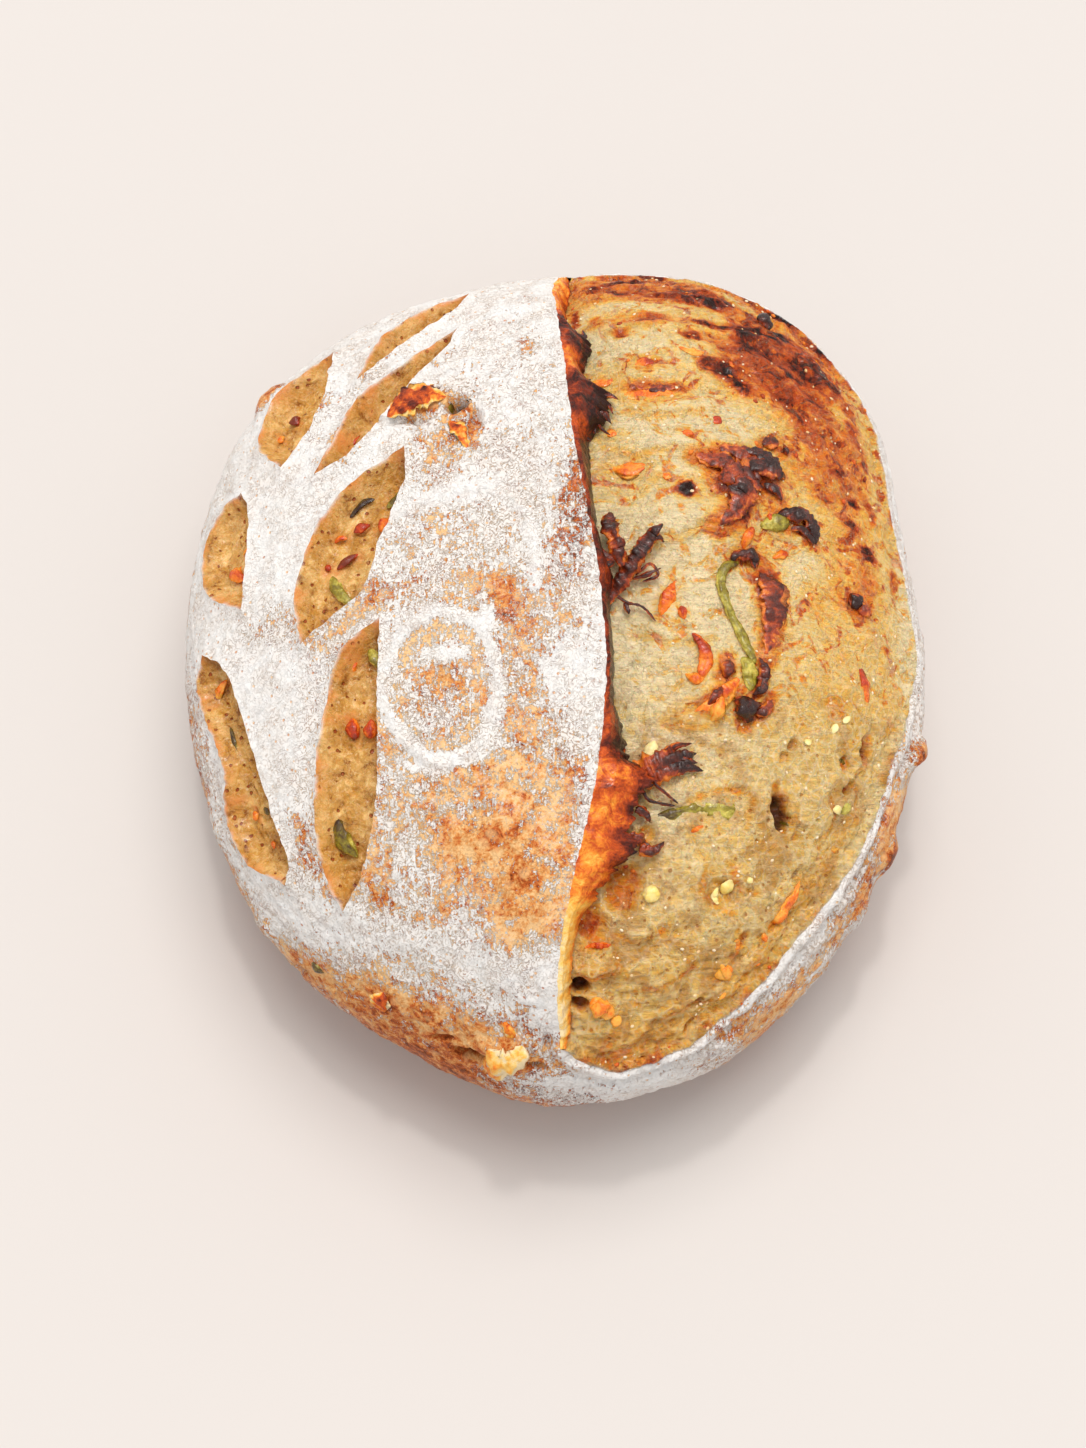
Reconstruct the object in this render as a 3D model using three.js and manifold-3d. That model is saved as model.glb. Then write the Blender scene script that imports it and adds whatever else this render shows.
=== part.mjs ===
// An oval hearth loaf, baked in one piece: a domed crust with one long score that has opened into
// a wide bloom beside a raised ear, seven leaf-shaped cuts on the other side, and a small flat base.
// Millimetres, +Z up. The score runs along Y, and the origin is the centre of the base.
import * as THREE from "three";
import { mergeVertices } from "three/addons/utils/BufferGeometryUtils.js";
import Module from "manifold-3d";

// Driving dimensions.
const HEIGHT = 94; // top of the dome, before the ear lifts
const WIDEST_LEVEL = 38; // height at which the outline is widest
const BASE_SHARE = 0.74; // the flat base's outline, as a share of the widest outline
const OUTLINE_RADII = [102, 106, 123, 130, 124, 121, 118, 107, 101, 100, 104, 107, 115, 113, 106, 101];
const EAR_LIFT = 4.5; // how far the ear stands above the dome
const EAR_SPREAD = 20; // how far back from its edge the ear starts to lift
const GROOVE_DEPTH = 7; // depth of the bloom below the dome, right beside the ear
const GROOVE_SHARE = 0.2; // share of the bloom's width in which that depth fades
const BLOOM_DEPTH = 1.4; // depth of the bloom over the rest of its width
const LEAF_DEPTH = 2.6; // depth of the leaf cuts
const CUTTER_TOP = 14; // how far the cutting shapes stand above the crust

// Facets.
const TURNS = 92; // facets round the loaf
const DOME_RINGS = 20;
const TUCK_RINGS = 7; // rings between the widest level and the base
const BLOOM_ACROSS = 12;
const BLOOM_ALONG = 34;
const LEAF_POINTS = 9; // facets along each side of a leaf cut

// The crust map. A point (p, q) lies on the crust in the direction (p, q) from the top of the dome.
// Its distance from the map's centre, over the outline's radius that way, is the angle down from
// the top: a quarter turn reaches the widest level, and BASE_ANGLE reaches the edge of the flat base.
const QUARTER = Math.PI / 2;
const BASE_ANGLE = (2 / 3) * Math.PI;

// The ear's edge and the bloom's far rim on the crust map, both from the back of the loaf to the front.
const EAR_EDGE = [[6, 170], [0, 144], [0, 112], [1, 84], [3, 55], [7, 34], [12, 5], [14, -20], [12, -48], [7, -78], [3, -104], [0, -138]];
const BLOOM_RIM = [[9, 171], [50, 168], [92, 150], [120, 112], [124, 72], [131, 30], [131, -3], [118, -34], [105, -67], [82, -97], [57, -130], [30, -151], [10, -149], [1, -139]];

// Each leaf cut: its two tips on the crust map, and how far each of its sides bows out.
const LEAVES = [
  { tips: [[-28, 135], [-61, 87]], bows: [14, 1] },
  { tips: [[-30, 105], [-70, 51]], bows: [7.5, 6.5] },
  { tips: [[-74, 111], [-84, 58]], bows: [20, 4] },
  { tips: [[-102, 61], [-96, 11]], bows: [24, 1] },
  { tips: [[-41, 56], [-72, -8]], bows: [15.5, 9] },
  { tips: [[-44, 3], [-65, -87]], bows: [13, 7] },
  { tips: [[-119, 8], [-91, -83]], bows: [12, 12] },
];

// Radius of the widest outline at an angle: a smooth closed curve through the stated radii.
function outlineRadius(angle) {
  const count = OUTLINE_RADII.length;
  const place = (((angle / (2 * Math.PI)) % 1) + 1) * count;
  const first = Math.floor(place);
  const t = place - first;
  const [a, b, c, d] = [-1, 0, 1, 2].map((step) => OUTLINE_RADII[(first + step + count) % count]);
  return 0.5 * (2 * b + (c - a) * t + (2 * a - 5 * b + 4 * c - d) * t ** 2 + (3 * b - a - 3 * c + d) * t ** 3);
}

// Distance outwards and height, for an angle down from the top of the dome and an outline radius.
function profilePoint(down, radius) {
  if (down <= QUARTER) {
    return [radius * Math.sin(down), WIDEST_LEVEL + (HEIGHT - WIDEST_LEVEL) * Math.cos(down)];
  }
  const tuck = Math.min(((down - QUARTER) / (BASE_ANGLE - QUARTER)) * QUARTER, QUARTER);
  return [radius * (BASE_SHARE + (1 - BASE_SHARE) * Math.cos(tuck)), WIDEST_LEVEL * (1 - Math.sin(tuck))];
}

// The bare dome's point at (p, q) on the crust map.
function domePoint(p, q) {
  const angle = Math.atan2(q, p);
  const radius = outlineRadius(angle);
  const [out, height] = profilePoint(Math.hypot(p, q) / radius, radius);
  return new THREE.Vector3(out * Math.cos(angle), out * Math.sin(angle), height);
}

// The dome's point at (p, q), raised along the surface's normal.
function raisedPoint(p, q, lift) {
  const step = 0.5;
  const along = domePoint(p + step, q).sub(domePoint(p - step, q));
  const across = domePoint(p, q + step).sub(domePoint(p, q - step));
  return domePoint(p, q).addScaledVector(along.cross(across).normalize(), lift);
}

// Point of a line on the crust map at a share of its length.
function lineThrough(points) {
  const curve = new THREE.CatmullRomCurve3(points.map(([p, q]) => new THREE.Vector3(p, q, 0)));
  return (share) => curve.getPointAt(share);
}
const earEdge = lineThrough(EAR_EDGE);
const bloomRim = lineThrough(BLOOM_RIM);

// How far the crust beside the ear's edge has lifted, at (p, q) on the crust map.
function earLift(p, q) {
  const nearest = EAR_EDGE.reduce((best, point) => (Math.abs(point[1] - q) < Math.abs(best[1] - q) ? point : best));
  const back = nearest[0] - p;
  const fadeAtEnds = Math.max(0, 1 - (q / 140) ** 4);
  return EAR_LIFT * fadeAtEnds * Math.exp(-((back / EAR_SPREAD) ** 2));
}

// Slow swells of the crust, as dough has, which fade out above the base.
function swell(point) {
  const wave = Math.sin(point.x / 17 + 1) * Math.sin(point.y / 23) + Math.sin(point.y / 31 + point.z / 19);
  return 0.7 * wave * THREE.MathUtils.smoothstep(point.z, 4, 24);
}

// The closed crust: a turned profile, stretched to the oval outline.
function crustGeometry() {
  const profile = [new THREE.Vector2(0, 0)];
  for (let i = TUCK_RINGS; i >= 1; i--) {
    profile.push(new THREE.Vector2(QUARTER + ((BASE_ANGLE - QUARTER) * i) / TUCK_RINGS, 1));
  }
  for (let i = DOME_RINGS; i >= 1; i--) {
    profile.push(new THREE.Vector2((QUARTER * i) / DOME_RINGS, 1));
  }
  profile.push(new THREE.Vector2(0, 1));
  // Until the next step, each vertex holds its angle down from the top as its distance from the axis.
  const geometry = new THREE.LatheGeometry(profile, TURNS);
  const position = geometry.getAttribute("position");
  for (let i = 0; i < position.count; i++) {
    const down = Math.hypot(position.getX(i), position.getZ(i));
    const angle = Math.atan2(position.getX(i), position.getZ(i));
    const isBaseCentre = position.getY(i) < 0.5;
    if (isBaseCentre) {
      position.setXYZ(i, 0, 0, 0);
      continue;
    }
    const radius = outlineRadius(angle);
    const [p, q] = [down * radius * Math.cos(angle), down * radius * Math.sin(angle)];
    const point = raisedPoint(p, q, down < QUARTER ? earLift(p, q) : 0);
    point.z += swell(point);
    position.setXYZ(i, point.x, point.y, down > BASE_ANGLE - 1e-4 ? 0 : point.z);
  }
  return geometry;
}

// The cutting shape for the bloom: a block whose near side follows the ear, and its far side the rim.
function bloomCutter() {
  const geometry = new THREE.BoxGeometry(1, 1, 1, BLOOM_ACROSS, BLOOM_ALONG, 1);
  const position = geometry.getAttribute("position");
  for (let i = 0; i < position.count; i++) {
    const across = position.getX(i) + 0.5;
    const along = 0.5 - position.getY(i);
    const onMap = earEdge(along).lerp(bloomRim(along), across);
    const floor = -BLOOM_DEPTH - (GROOVE_DEPTH - BLOOM_DEPTH) * Math.exp(-((across / GROOVE_SHARE) ** 2));
    const isFloor = position.getZ(i) < 0;
    const point = raisedPoint(onMap.x, onMap.y, isFloor ? floor : CUTTER_TOP);
    position.setXYZ(i, point.x, point.y, point.z);
  }
  return geometry;
}

// The outline of a leaf cut on the crust map: two bowed sides between its tips.
function leafOutline({ tips: [start, end], bows }) {
  const [chordP, chordQ] = [end[0] - start[0], end[1] - start[1]];
  const length = Math.hypot(chordP, chordQ);
  const beside = (share, bow) => {
    const out = (bow * 4) / 3 / length; // a cubic curve bows out by three quarters of its handles
    return [start[0] + chordP * share + chordQ * out, start[1] + chordQ * share - chordP * out];
  };
  const shape = new THREE.Shape();
  shape.moveTo(...start);
  shape.bezierCurveTo(...beside(0.22, bows[0]), ...beside(0.78, bows[0]), ...end);
  shape.bezierCurveTo(...beside(0.78, -bows[1]), ...beside(0.22, -bows[1]), ...start);
  return shape;
}

// The cutting shape for a leaf: its outline, extruded through the crust.
function leafCutter(leaf) {
  const geometry = new THREE.ExtrudeGeometry(leafOutline(leaf), {
    depth: 1,
    bevelEnabled: false,
    curveSegments: LEAF_POINTS,
  });
  const position = geometry.getAttribute("position");
  for (let i = 0; i < position.count; i++) {
    const lift = THREE.MathUtils.lerp(-LEAF_DEPTH, CUTTER_TOP, position.getZ(i));
    const point = raisedPoint(position.getX(i), position.getY(i), lift);
    position.setXYZ(i, point.x, point.y, point.z);
  }
  return geometry;
}

const wasm = await Module();
wasm.setup();

function toSolid(geometry) {
  const bare = geometry.clone();
  bare.deleteAttribute("normal");
  bare.deleteAttribute("uv");
  const merged = mergeVertices(bare, 1e-3);
  const solid = new wasm.Manifold(
    new wasm.Mesh({
      numProp: 3,
      vertProperties: merged.getAttribute("position").array,
      triVerts: new Uint32Array(merged.index.array),
    }),
  );
  if (solid.volume() < 0) throw new Error("a solid is inside out");
  return solid;
}

function toGeometry(solid) {
  const { vertProperties, triVerts } = solid.getMesh();
  const geometry = new THREE.BufferGeometry();
  geometry.setAttribute("position", new THREE.BufferAttribute(vertProperties, 3));
  geometry.setIndex(new THREE.BufferAttribute(triVerts, 1));
  geometry.computeVertexNormals();
  return geometry;
}

function loafMesh() {
  const cutters = [bloomCutter(), ...LEAVES.map(leafCutter)];
  const cut = cutters.reduce((solid, cutter) => solid.subtract(toSolid(cutter)), toSolid(crustGeometry()));
  const geometry = toGeometry(cut);
  geometry.computeBoundingBox();
  const middle = geometry.boundingBox.getCenter(new THREE.Vector3());
  geometry.translate(-middle.x, -middle.y, 0);
  const bakedCrust = new THREE.MeshStandardMaterial({ color: 0xd9b285, roughness: 0.85, metalness: 0 });
  const mesh = new THREE.Mesh(geometry, bakedCrust);
  mesh.name = "loaf";
  return mesh;
}

const loaf = new THREE.Group();
loaf.add(loafMesh());

export default loaf;
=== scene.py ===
# An oval hearth loaf: a floured crust, one long score that has opened into a torn, toasted bloom
# beside a raised ear, seven leaf-shaped cuts, and strips of pepper and drops of cheese baked in.
# Shapes are worked out in millimetres on the crust map, and become metres when a mesh is made.
import math

import bpy
import numpy as np
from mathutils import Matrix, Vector
from mathutils.geometry import delaunay_2d_cdt


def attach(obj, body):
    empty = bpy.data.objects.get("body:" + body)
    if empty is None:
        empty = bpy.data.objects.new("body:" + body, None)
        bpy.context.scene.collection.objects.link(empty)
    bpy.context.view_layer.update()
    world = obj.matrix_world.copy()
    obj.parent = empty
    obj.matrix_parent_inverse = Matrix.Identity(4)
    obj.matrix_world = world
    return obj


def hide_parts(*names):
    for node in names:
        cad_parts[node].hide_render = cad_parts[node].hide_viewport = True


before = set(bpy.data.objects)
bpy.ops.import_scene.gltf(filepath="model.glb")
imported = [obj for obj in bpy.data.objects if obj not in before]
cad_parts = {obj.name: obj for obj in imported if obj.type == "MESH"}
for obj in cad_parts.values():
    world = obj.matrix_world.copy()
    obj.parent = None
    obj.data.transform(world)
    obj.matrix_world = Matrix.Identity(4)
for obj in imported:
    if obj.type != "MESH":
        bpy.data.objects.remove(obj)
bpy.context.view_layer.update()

MM = 0.001
QUARTER = math.pi / 2

# The loaf's driving dimensions, in millimetres and radians.
HEIGHT = 94.0
WIDEST_LEVEL = 38.0
BASE_SHARE = 0.74
BASE_ANGLE = 2 * math.pi / 3
OUTLINE_RADII = [102, 106, 123, 130, 124, 121, 118, 107, 101, 100, 104, 107, 115, 113, 106, 101]
EAR_LIFT = 4.5
EAR_SPREAD = 20.0
EAR_LIP = 0.9
EAR_LIP_SPREAD = 3.5
EAR_FALL = 12.0
EAR_HALF_LENGTH = 140.0
GROOVE_DEPTH = 7.0
GROOVE_SHARE = 0.2
BLOOM_DEPTH = 1.4
LEAF_DEPTH = 4.4
RING_HEIGHT = 0.75
EAR_EDGE = [(5, 170), (0, 144), (1, 112), (3, 84), (5, 55), (8, 34), (12, 5), (13, -20), (10, -48),
            (4, -78), (1, -104), (2, -134)]
BLOOM_RIM = [(8, 171), (50, 168), (92, 150), (120, 112), (124, 72), (131, 30), (131, -3), (118, -34),
             (105, -67), (82, -97), (57, -130), (30, -150), (12, -146), (3, -135)]
LEAVES = [
    {"outer": [(-29, 135), (-40, 134), (-50, 125), (-57, 114), (-60, 102), (-61, 88)],
     "inner": [(-29, 135), (-33, 124), (-42, 112), (-52, 100), (-61, 88)]},
    {"outer": [(-30, 106), (-40, 99), (-50, 89), (-60, 80), (-65, 67), (-71, 52)],
     "inner": [(-30, 106), (-34, 96), (-42, 84), (-50, 70), (-59, 58), (-71, 52)]},
    {"outer": [(-76, 114), (-87, 113), (-98, 100), (-101, 89), (-98, 74), (-84, 59)],
     "inner": [(-76, 114), (-74, 96), (-73, 84), (-77, 70), (-84, 59)]},
    {"outer": [(-103, 58), (-114, 59), (-125, 50), (-127, 38), (-118, 24), (-97, 13)],
     "inner": [(-103, 58), (-98, 47), (-97, 30), (-97, 13)]},
    {"outer": [(-42, 55), (-57, 47), (-68, 35), (-74, 20), (-75, 8), (-72, -3)],
     "inner": [(-42, 55), (-42, 43), (-48, 25), (-53, 11), (-63, 4), (-72, -3)]},
    {"outer": [(-47, 2), (-59, -6), (-64, -20), (-69, -40), (-71, -58), (-70, -76), (-65, -86)],
     "inner": [(-47, 2), (-48, -20), (-49, -46), (-55, -69), (-65, -86)]},
    {"outer": [(-119, 3), (-127, -5), (-123, -18), (-112, -38), (-117, -56), (-110, -72), (-87, -79)],
     "inner": [(-119, 3), (-105, -6), (-96, -28), (-88, -55), (-84, -69), (-87, -79)]},
]

# Point spacings on the crust map.
LINE_SPACING = 0.8
BLOOM_SPACING = 0.72
LEAF_SPACING = 0.62
CRUST_SPACING = 1.02
SIDE_SPACING = 2.2
BASE_SPACING = 9.0
TORN_SPACING = 0.42

# Angles down from the top at which the coarser points of the sides and of the base begin, and at which
# the base's points end. A fan of triangles closes the rest of the base.
SIDE_START = 1.5
BASE_START = BASE_ANGLE + 0.06
BASE_END = 3.08

# Points lie in staggered rows, this share of their spacing apart, and are pushed about by up to this share.
ROW_SHARE = 0.866
JITTER_SHARE = 0.18

# How far the points inside a region keep from its edge.
CRUST_CLEARANCE = 0.45
BLOOM_CLEARANCE = 0.35
LEAF_CLEARANCE = 0.3

# Millimetres of the map to one unit of a piece's UV.
UV_UNIT = 100


# ---------------------------------------------------------------- Noise on the crust map

LATTICE = np.random.default_rng(11).uniform(0, 1, (5, 256, 256))


def fade(share):
    return share * share * (3 - 2 * share)


def smooth_band(value, low, high):
    """0 below low, 1 above high, and a smooth change between them. It falls if high is below low."""
    return fade(np.clip((value - low) / (high - low), 0, 1))


def bell(away, width):
    """1 where away is 0, falling smoothly to 0 at about twice the width."""
    return np.exp(-((away / width) ** 2))


def noise(p, q, size, seed=0, stretch=1.0):
    """Smooth noise from about -1 to 1, with features of that size, drawn out along p by the stretch."""
    u = p / (size * stretch) + 37.3 * seed
    v = q / size + 19.7 * seed
    i, j = np.floor(u).astype(int), np.floor(v).astype(int)
    s, t = u - i, v - j

    def corner(di, dj):
        angle = 2 * math.pi * LATTICE[0, (i + di) % 256, (j + dj) % 256]
        return np.cos(angle) * (s - di) + np.sin(angle) * (t - dj)

    low = corner(0, 0) + fade(s) * (corner(1, 0) - corner(0, 0))
    high = corner(0, 1) + fade(s) * (corner(1, 1) - corner(0, 1))
    return 1.6 * (low + fade(t) * (high - low))


def spots(p, q, size, share, seed=0):
    """Round bumps from 0 to 1, in that share of the cells of a grid of that size."""
    i, j = np.floor(p / size).astype(int), np.floor(q / size).astype(int)
    highest = np.zeros(p.shape)
    for di in (-1, 0, 1):
        for dj in (-1, 0, 1):
            cell = ((i + di + 17 * seed) % 256, (j + dj + 29 * seed) % 256)
            centre_p = (i + di + 0.2 + 0.6 * LATTICE[1][cell]) * size
            centre_q = (j + dj + 0.2 + 0.6 * LATTICE[2][cell]) * size
            reach = size * (0.18 + 0.3 * LATTICE[3][cell] ** 2)
            bump = np.exp(-((p - centre_p) ** 2 + (q - centre_q) ** 2) / reach**2)
            highest = np.maximum(highest, np.where(LATTICE[4][cell] < share, bump, 0))
    return highest


# ---------------------------------------------------------------- The crust map


def outline_radius(angle):
    """Radius of the widest outline at an angle: a smooth closed curve through the stated radii."""
    count = len(OUTLINE_RADII)
    place = (angle / (2 * math.pi) % 1) * count
    first = np.floor(place).astype(int)
    t = place - first
    a, b, c, d = (np.array(OUTLINE_RADII, float)[(first + step) % count] for step in (-1, 0, 1, 2))
    return 0.5 * (2 * b + (c - a) * t + (2 * a - 5 * b + 4 * c - d) * t**2 + (3 * b - a - 3 * c + d) * t**3)


def angle_down(p, q):
    return np.hypot(p, q) / outline_radius(np.arctan2(q, p))


def dome_point(p, q):
    """The bare crust's point at (p, q): dome, then the tuck under it, then the flat base."""
    angle = np.arctan2(q, p)
    radius = outline_radius(angle)
    down = np.hypot(p, q) / radius
    on_dome = np.minimum(down, QUARTER)
    tuck = np.clip((down - QUARTER) / (BASE_ANGLE - QUARTER), 0, 1) * QUARTER
    base_left = np.clip((math.pi - down) / (math.pi - BASE_ANGLE), 0, 1)
    out = np.where(down < QUARTER, np.sin(on_dome), BASE_SHARE + (1 - BASE_SHARE) * np.cos(tuck))
    out = radius * np.where(down > BASE_ANGLE, BASE_SHARE * base_left, out)
    height = np.where(down < QUARTER, WIDEST_LEVEL + (HEIGHT - WIDEST_LEVEL) * np.cos(on_dome),
                      WIDEST_LEVEL * (1 - np.sin(tuck)))
    return np.stack([out * np.cos(angle), out * np.sin(angle), height], axis=-1)


def dome_frame(p, q, step=0.5):
    """Unit directions along p, along q and outwards at (p, q)."""
    along_p = dome_point(p + step, q) - dome_point(p - step, q)
    along_q = dome_point(p, q + step) - dome_point(p, q - step)
    outwards = np.cross(along_p, along_q)
    outwards /= np.linalg.norm(outwards, axis=-1, keepdims=True)
    along_p /= np.linalg.norm(along_p, axis=-1, keepdims=True)
    return along_p, np.cross(outwards, along_p), outwards


def swell(points):
    """Slow swells of the crust, as dough has, which fade out above the base."""
    x, y, z = points[..., 0], points[..., 1], points[..., 2]
    wave = np.sin(x / 17 + 1) * np.sin(y / 23) + np.sin(y / 31 + z / 19)
    return 0.7 * wave * smooth_band(z, 4, 24)


def middle_of_outline():
    angles = np.linspace(0, 2 * math.pi, 721)
    ring = outline_radius(angles)[:, None] * np.stack([np.cos(angles), np.sin(angles)], axis=1)
    return (ring.min(axis=0) + ring.max(axis=0)) / 2


MIDDLE = middle_of_outline()


def raised(p, q, lift):
    """Points in millimetres in the part's frame, raised from the crust by the lift."""
    points = dome_point(p, q) + dome_frame(p, q)[2] * np.asarray(lift)[..., None]
    points[..., 2] += swell(points)
    points[..., 2] = np.maximum(points[..., 2], 0)
    points[..., :2] -= MIDDLE
    return points


# ---------------------------------------------------------------- Lines on the crust map


def resampled(line, spacing):
    gone = np.concatenate([[0], np.cumsum(np.linalg.norm(np.diff(line, axis=0), axis=1))])
    count = max(3, int(round(gone[-1] / spacing)) + 1)
    wanted = np.linspace(0, gone[-1], count)
    return np.stack([np.interp(wanted, gone, column) for column in line.T], axis=1)


def smooth_line(knots, spacing):
    """Points at an even spacing along a smooth line through the knots."""
    knots = np.array(knots, float)
    padded = np.vstack([2 * knots[0] - knots[1], knots, 2 * knots[-1] - knots[-2]])
    t = np.linspace(0, 1, 24, endpoint=False)[:, None]
    parts = []
    for a, b, c, d in zip(padded, padded[1:], padded[2:], padded[3:]):
        parts.append(0.5 * (2 * b + (c - a) * t + (2 * a - 5 * b + 4 * c - d) * t**2
                            + (3 * b - a - 3 * c + d) * t**3))
    return resampled(np.vstack(parts + [knots[-1:]]), spacing)


def ragged(line, amount, size):
    """The line, pushed about by noise everywhere but at its two ends."""
    ends = np.minimum(np.arange(len(line)), np.arange(len(line))[::-1])
    held = np.clip(ends / 4, 0, 1)
    push_p = noise(line[:, 0], line[:, 1], size, 5) + 0.5 * noise(line[:, 0], line[:, 1], size / 3, 6)
    push_q = noise(line[:, 0], line[:, 1], size, 7)
    return line + amount * (held * np.stack([push_p, push_q])).T


def distance_to(line, p, q, reach=24.0):
    """Distance from each map point to a line, which stays at the reach beyond it."""
    low, high = line.min(axis=0) - reach, line.max(axis=0) + reach
    near = (p > low[0]) & (p < high[0]) & (q > low[1]) & (q < high[1])
    near_p, near_q = p[near], q[near]
    best = np.full(near_p.shape, reach)
    for (start_p, start_q), (end_p, end_q) in zip(line, line[1:]):
        run_p, run_q = end_p - start_p, end_q - start_q
        share = ((near_p - start_p) * run_p + (near_q - start_q) * run_q) / (run_p**2 + run_q**2 + 1e-9)
        share = np.clip(share, 0, 1)
        best = np.minimum(best, np.hypot(near_p - start_p - share * run_p, near_q - start_q - share * run_q))
    result = np.full(p.shape, reach)
    result[near] = best
    return result


def inside(loop, p, q):
    """Whether each map point lies inside a closed loop."""
    near = (p > loop[:, 0].min()) & (p < loop[:, 0].max()) & (q > loop[:, 1].min()) & (q < loop[:, 1].max())
    result = np.zeros(p.shape, bool)
    p, q = p[near], q[near]
    odd = np.zeros(p.shape, bool)
    for (start_p, start_q), (end_p, end_q) in zip(loop, np.roll(loop, -1, axis=0)):
        spans = (start_q > q) != (end_q > q)
        rise = end_q - start_q if end_q != start_q else 1e-9
        odd ^= spans & (p < start_p + (q - start_q) * (end_p - start_p) / rise)
    result[near] = odd
    return result


def leaf_sides(leaf):
    """The outer and inner sides of a leaf cut, both from its first tip to its second."""
    return [ragged(smooth_line(leaf[side], LINE_SPACING), 0.5, 5) for side in ("outer", "inner")]


EAR_LINE = ragged(smooth_line(EAR_EDGE, LINE_SPACING), 0.4, 4)
RIM_LINE = ragged(smooth_line(BLOOM_RIM, LINE_SPACING), 1.1, 9)
BLOOM_LOOP = np.vstack([EAR_LINE, RIM_LINE[::-1]])
LEAF_SIDES = [leaf_sides(leaf) for leaf in LEAVES]
LEAF_LOOPS = [np.vstack([outer, inner[-2:0:-1]]) for outer, inner in LEAF_SIDES]


def to_rim_line(p, q, reach=24.0):
    return distance_to(RIM_LINE[::2], p, q, reach)


# ---------------------------------------------------------------- Patches painted on the crust map

# A patch is a soft oval: (p, q, half length, half width, turn in degrees, value).

def patch_shares(p, q, patch):
    """How strongly a patch covers each map point, from 0 to 1. Its edge wanders."""
    centre_p, centre_q, reach_p, reach_q, turn = patch[:5]
    shares = np.zeros(p.shape)
    near = np.hypot(p - centre_p, q - centre_q) < 2.2 * max(reach_p, reach_q)
    near_p, near_q = p[near], q[near]
    shift = 0.3 * min(reach_p, reach_q)
    size = 1.3 * min(reach_p, reach_q)
    off_p = near_p - centre_p + shift * noise(near_p, near_q, size, 3)
    off_q = near_q - centre_q + shift * noise(near_p, near_q, size, 4)
    cos, sin = math.cos(math.radians(turn)), math.sin(math.radians(turn))
    away = np.hypot((off_p * cos + off_q * sin) / reach_p, (off_q * cos - off_p * sin) / reach_q)
    shares[near] = np.exp(-(away**3))
    return shares


def painted(p, q, base, patches):
    """A value on the crust map: each patch pulls it towards the patch's own value in turn."""
    value = np.full(p.shape, float(base))
    for patch in patches:
        value += patch_shares(p, q, patch) * (patch[5] - value)
    return value


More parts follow.
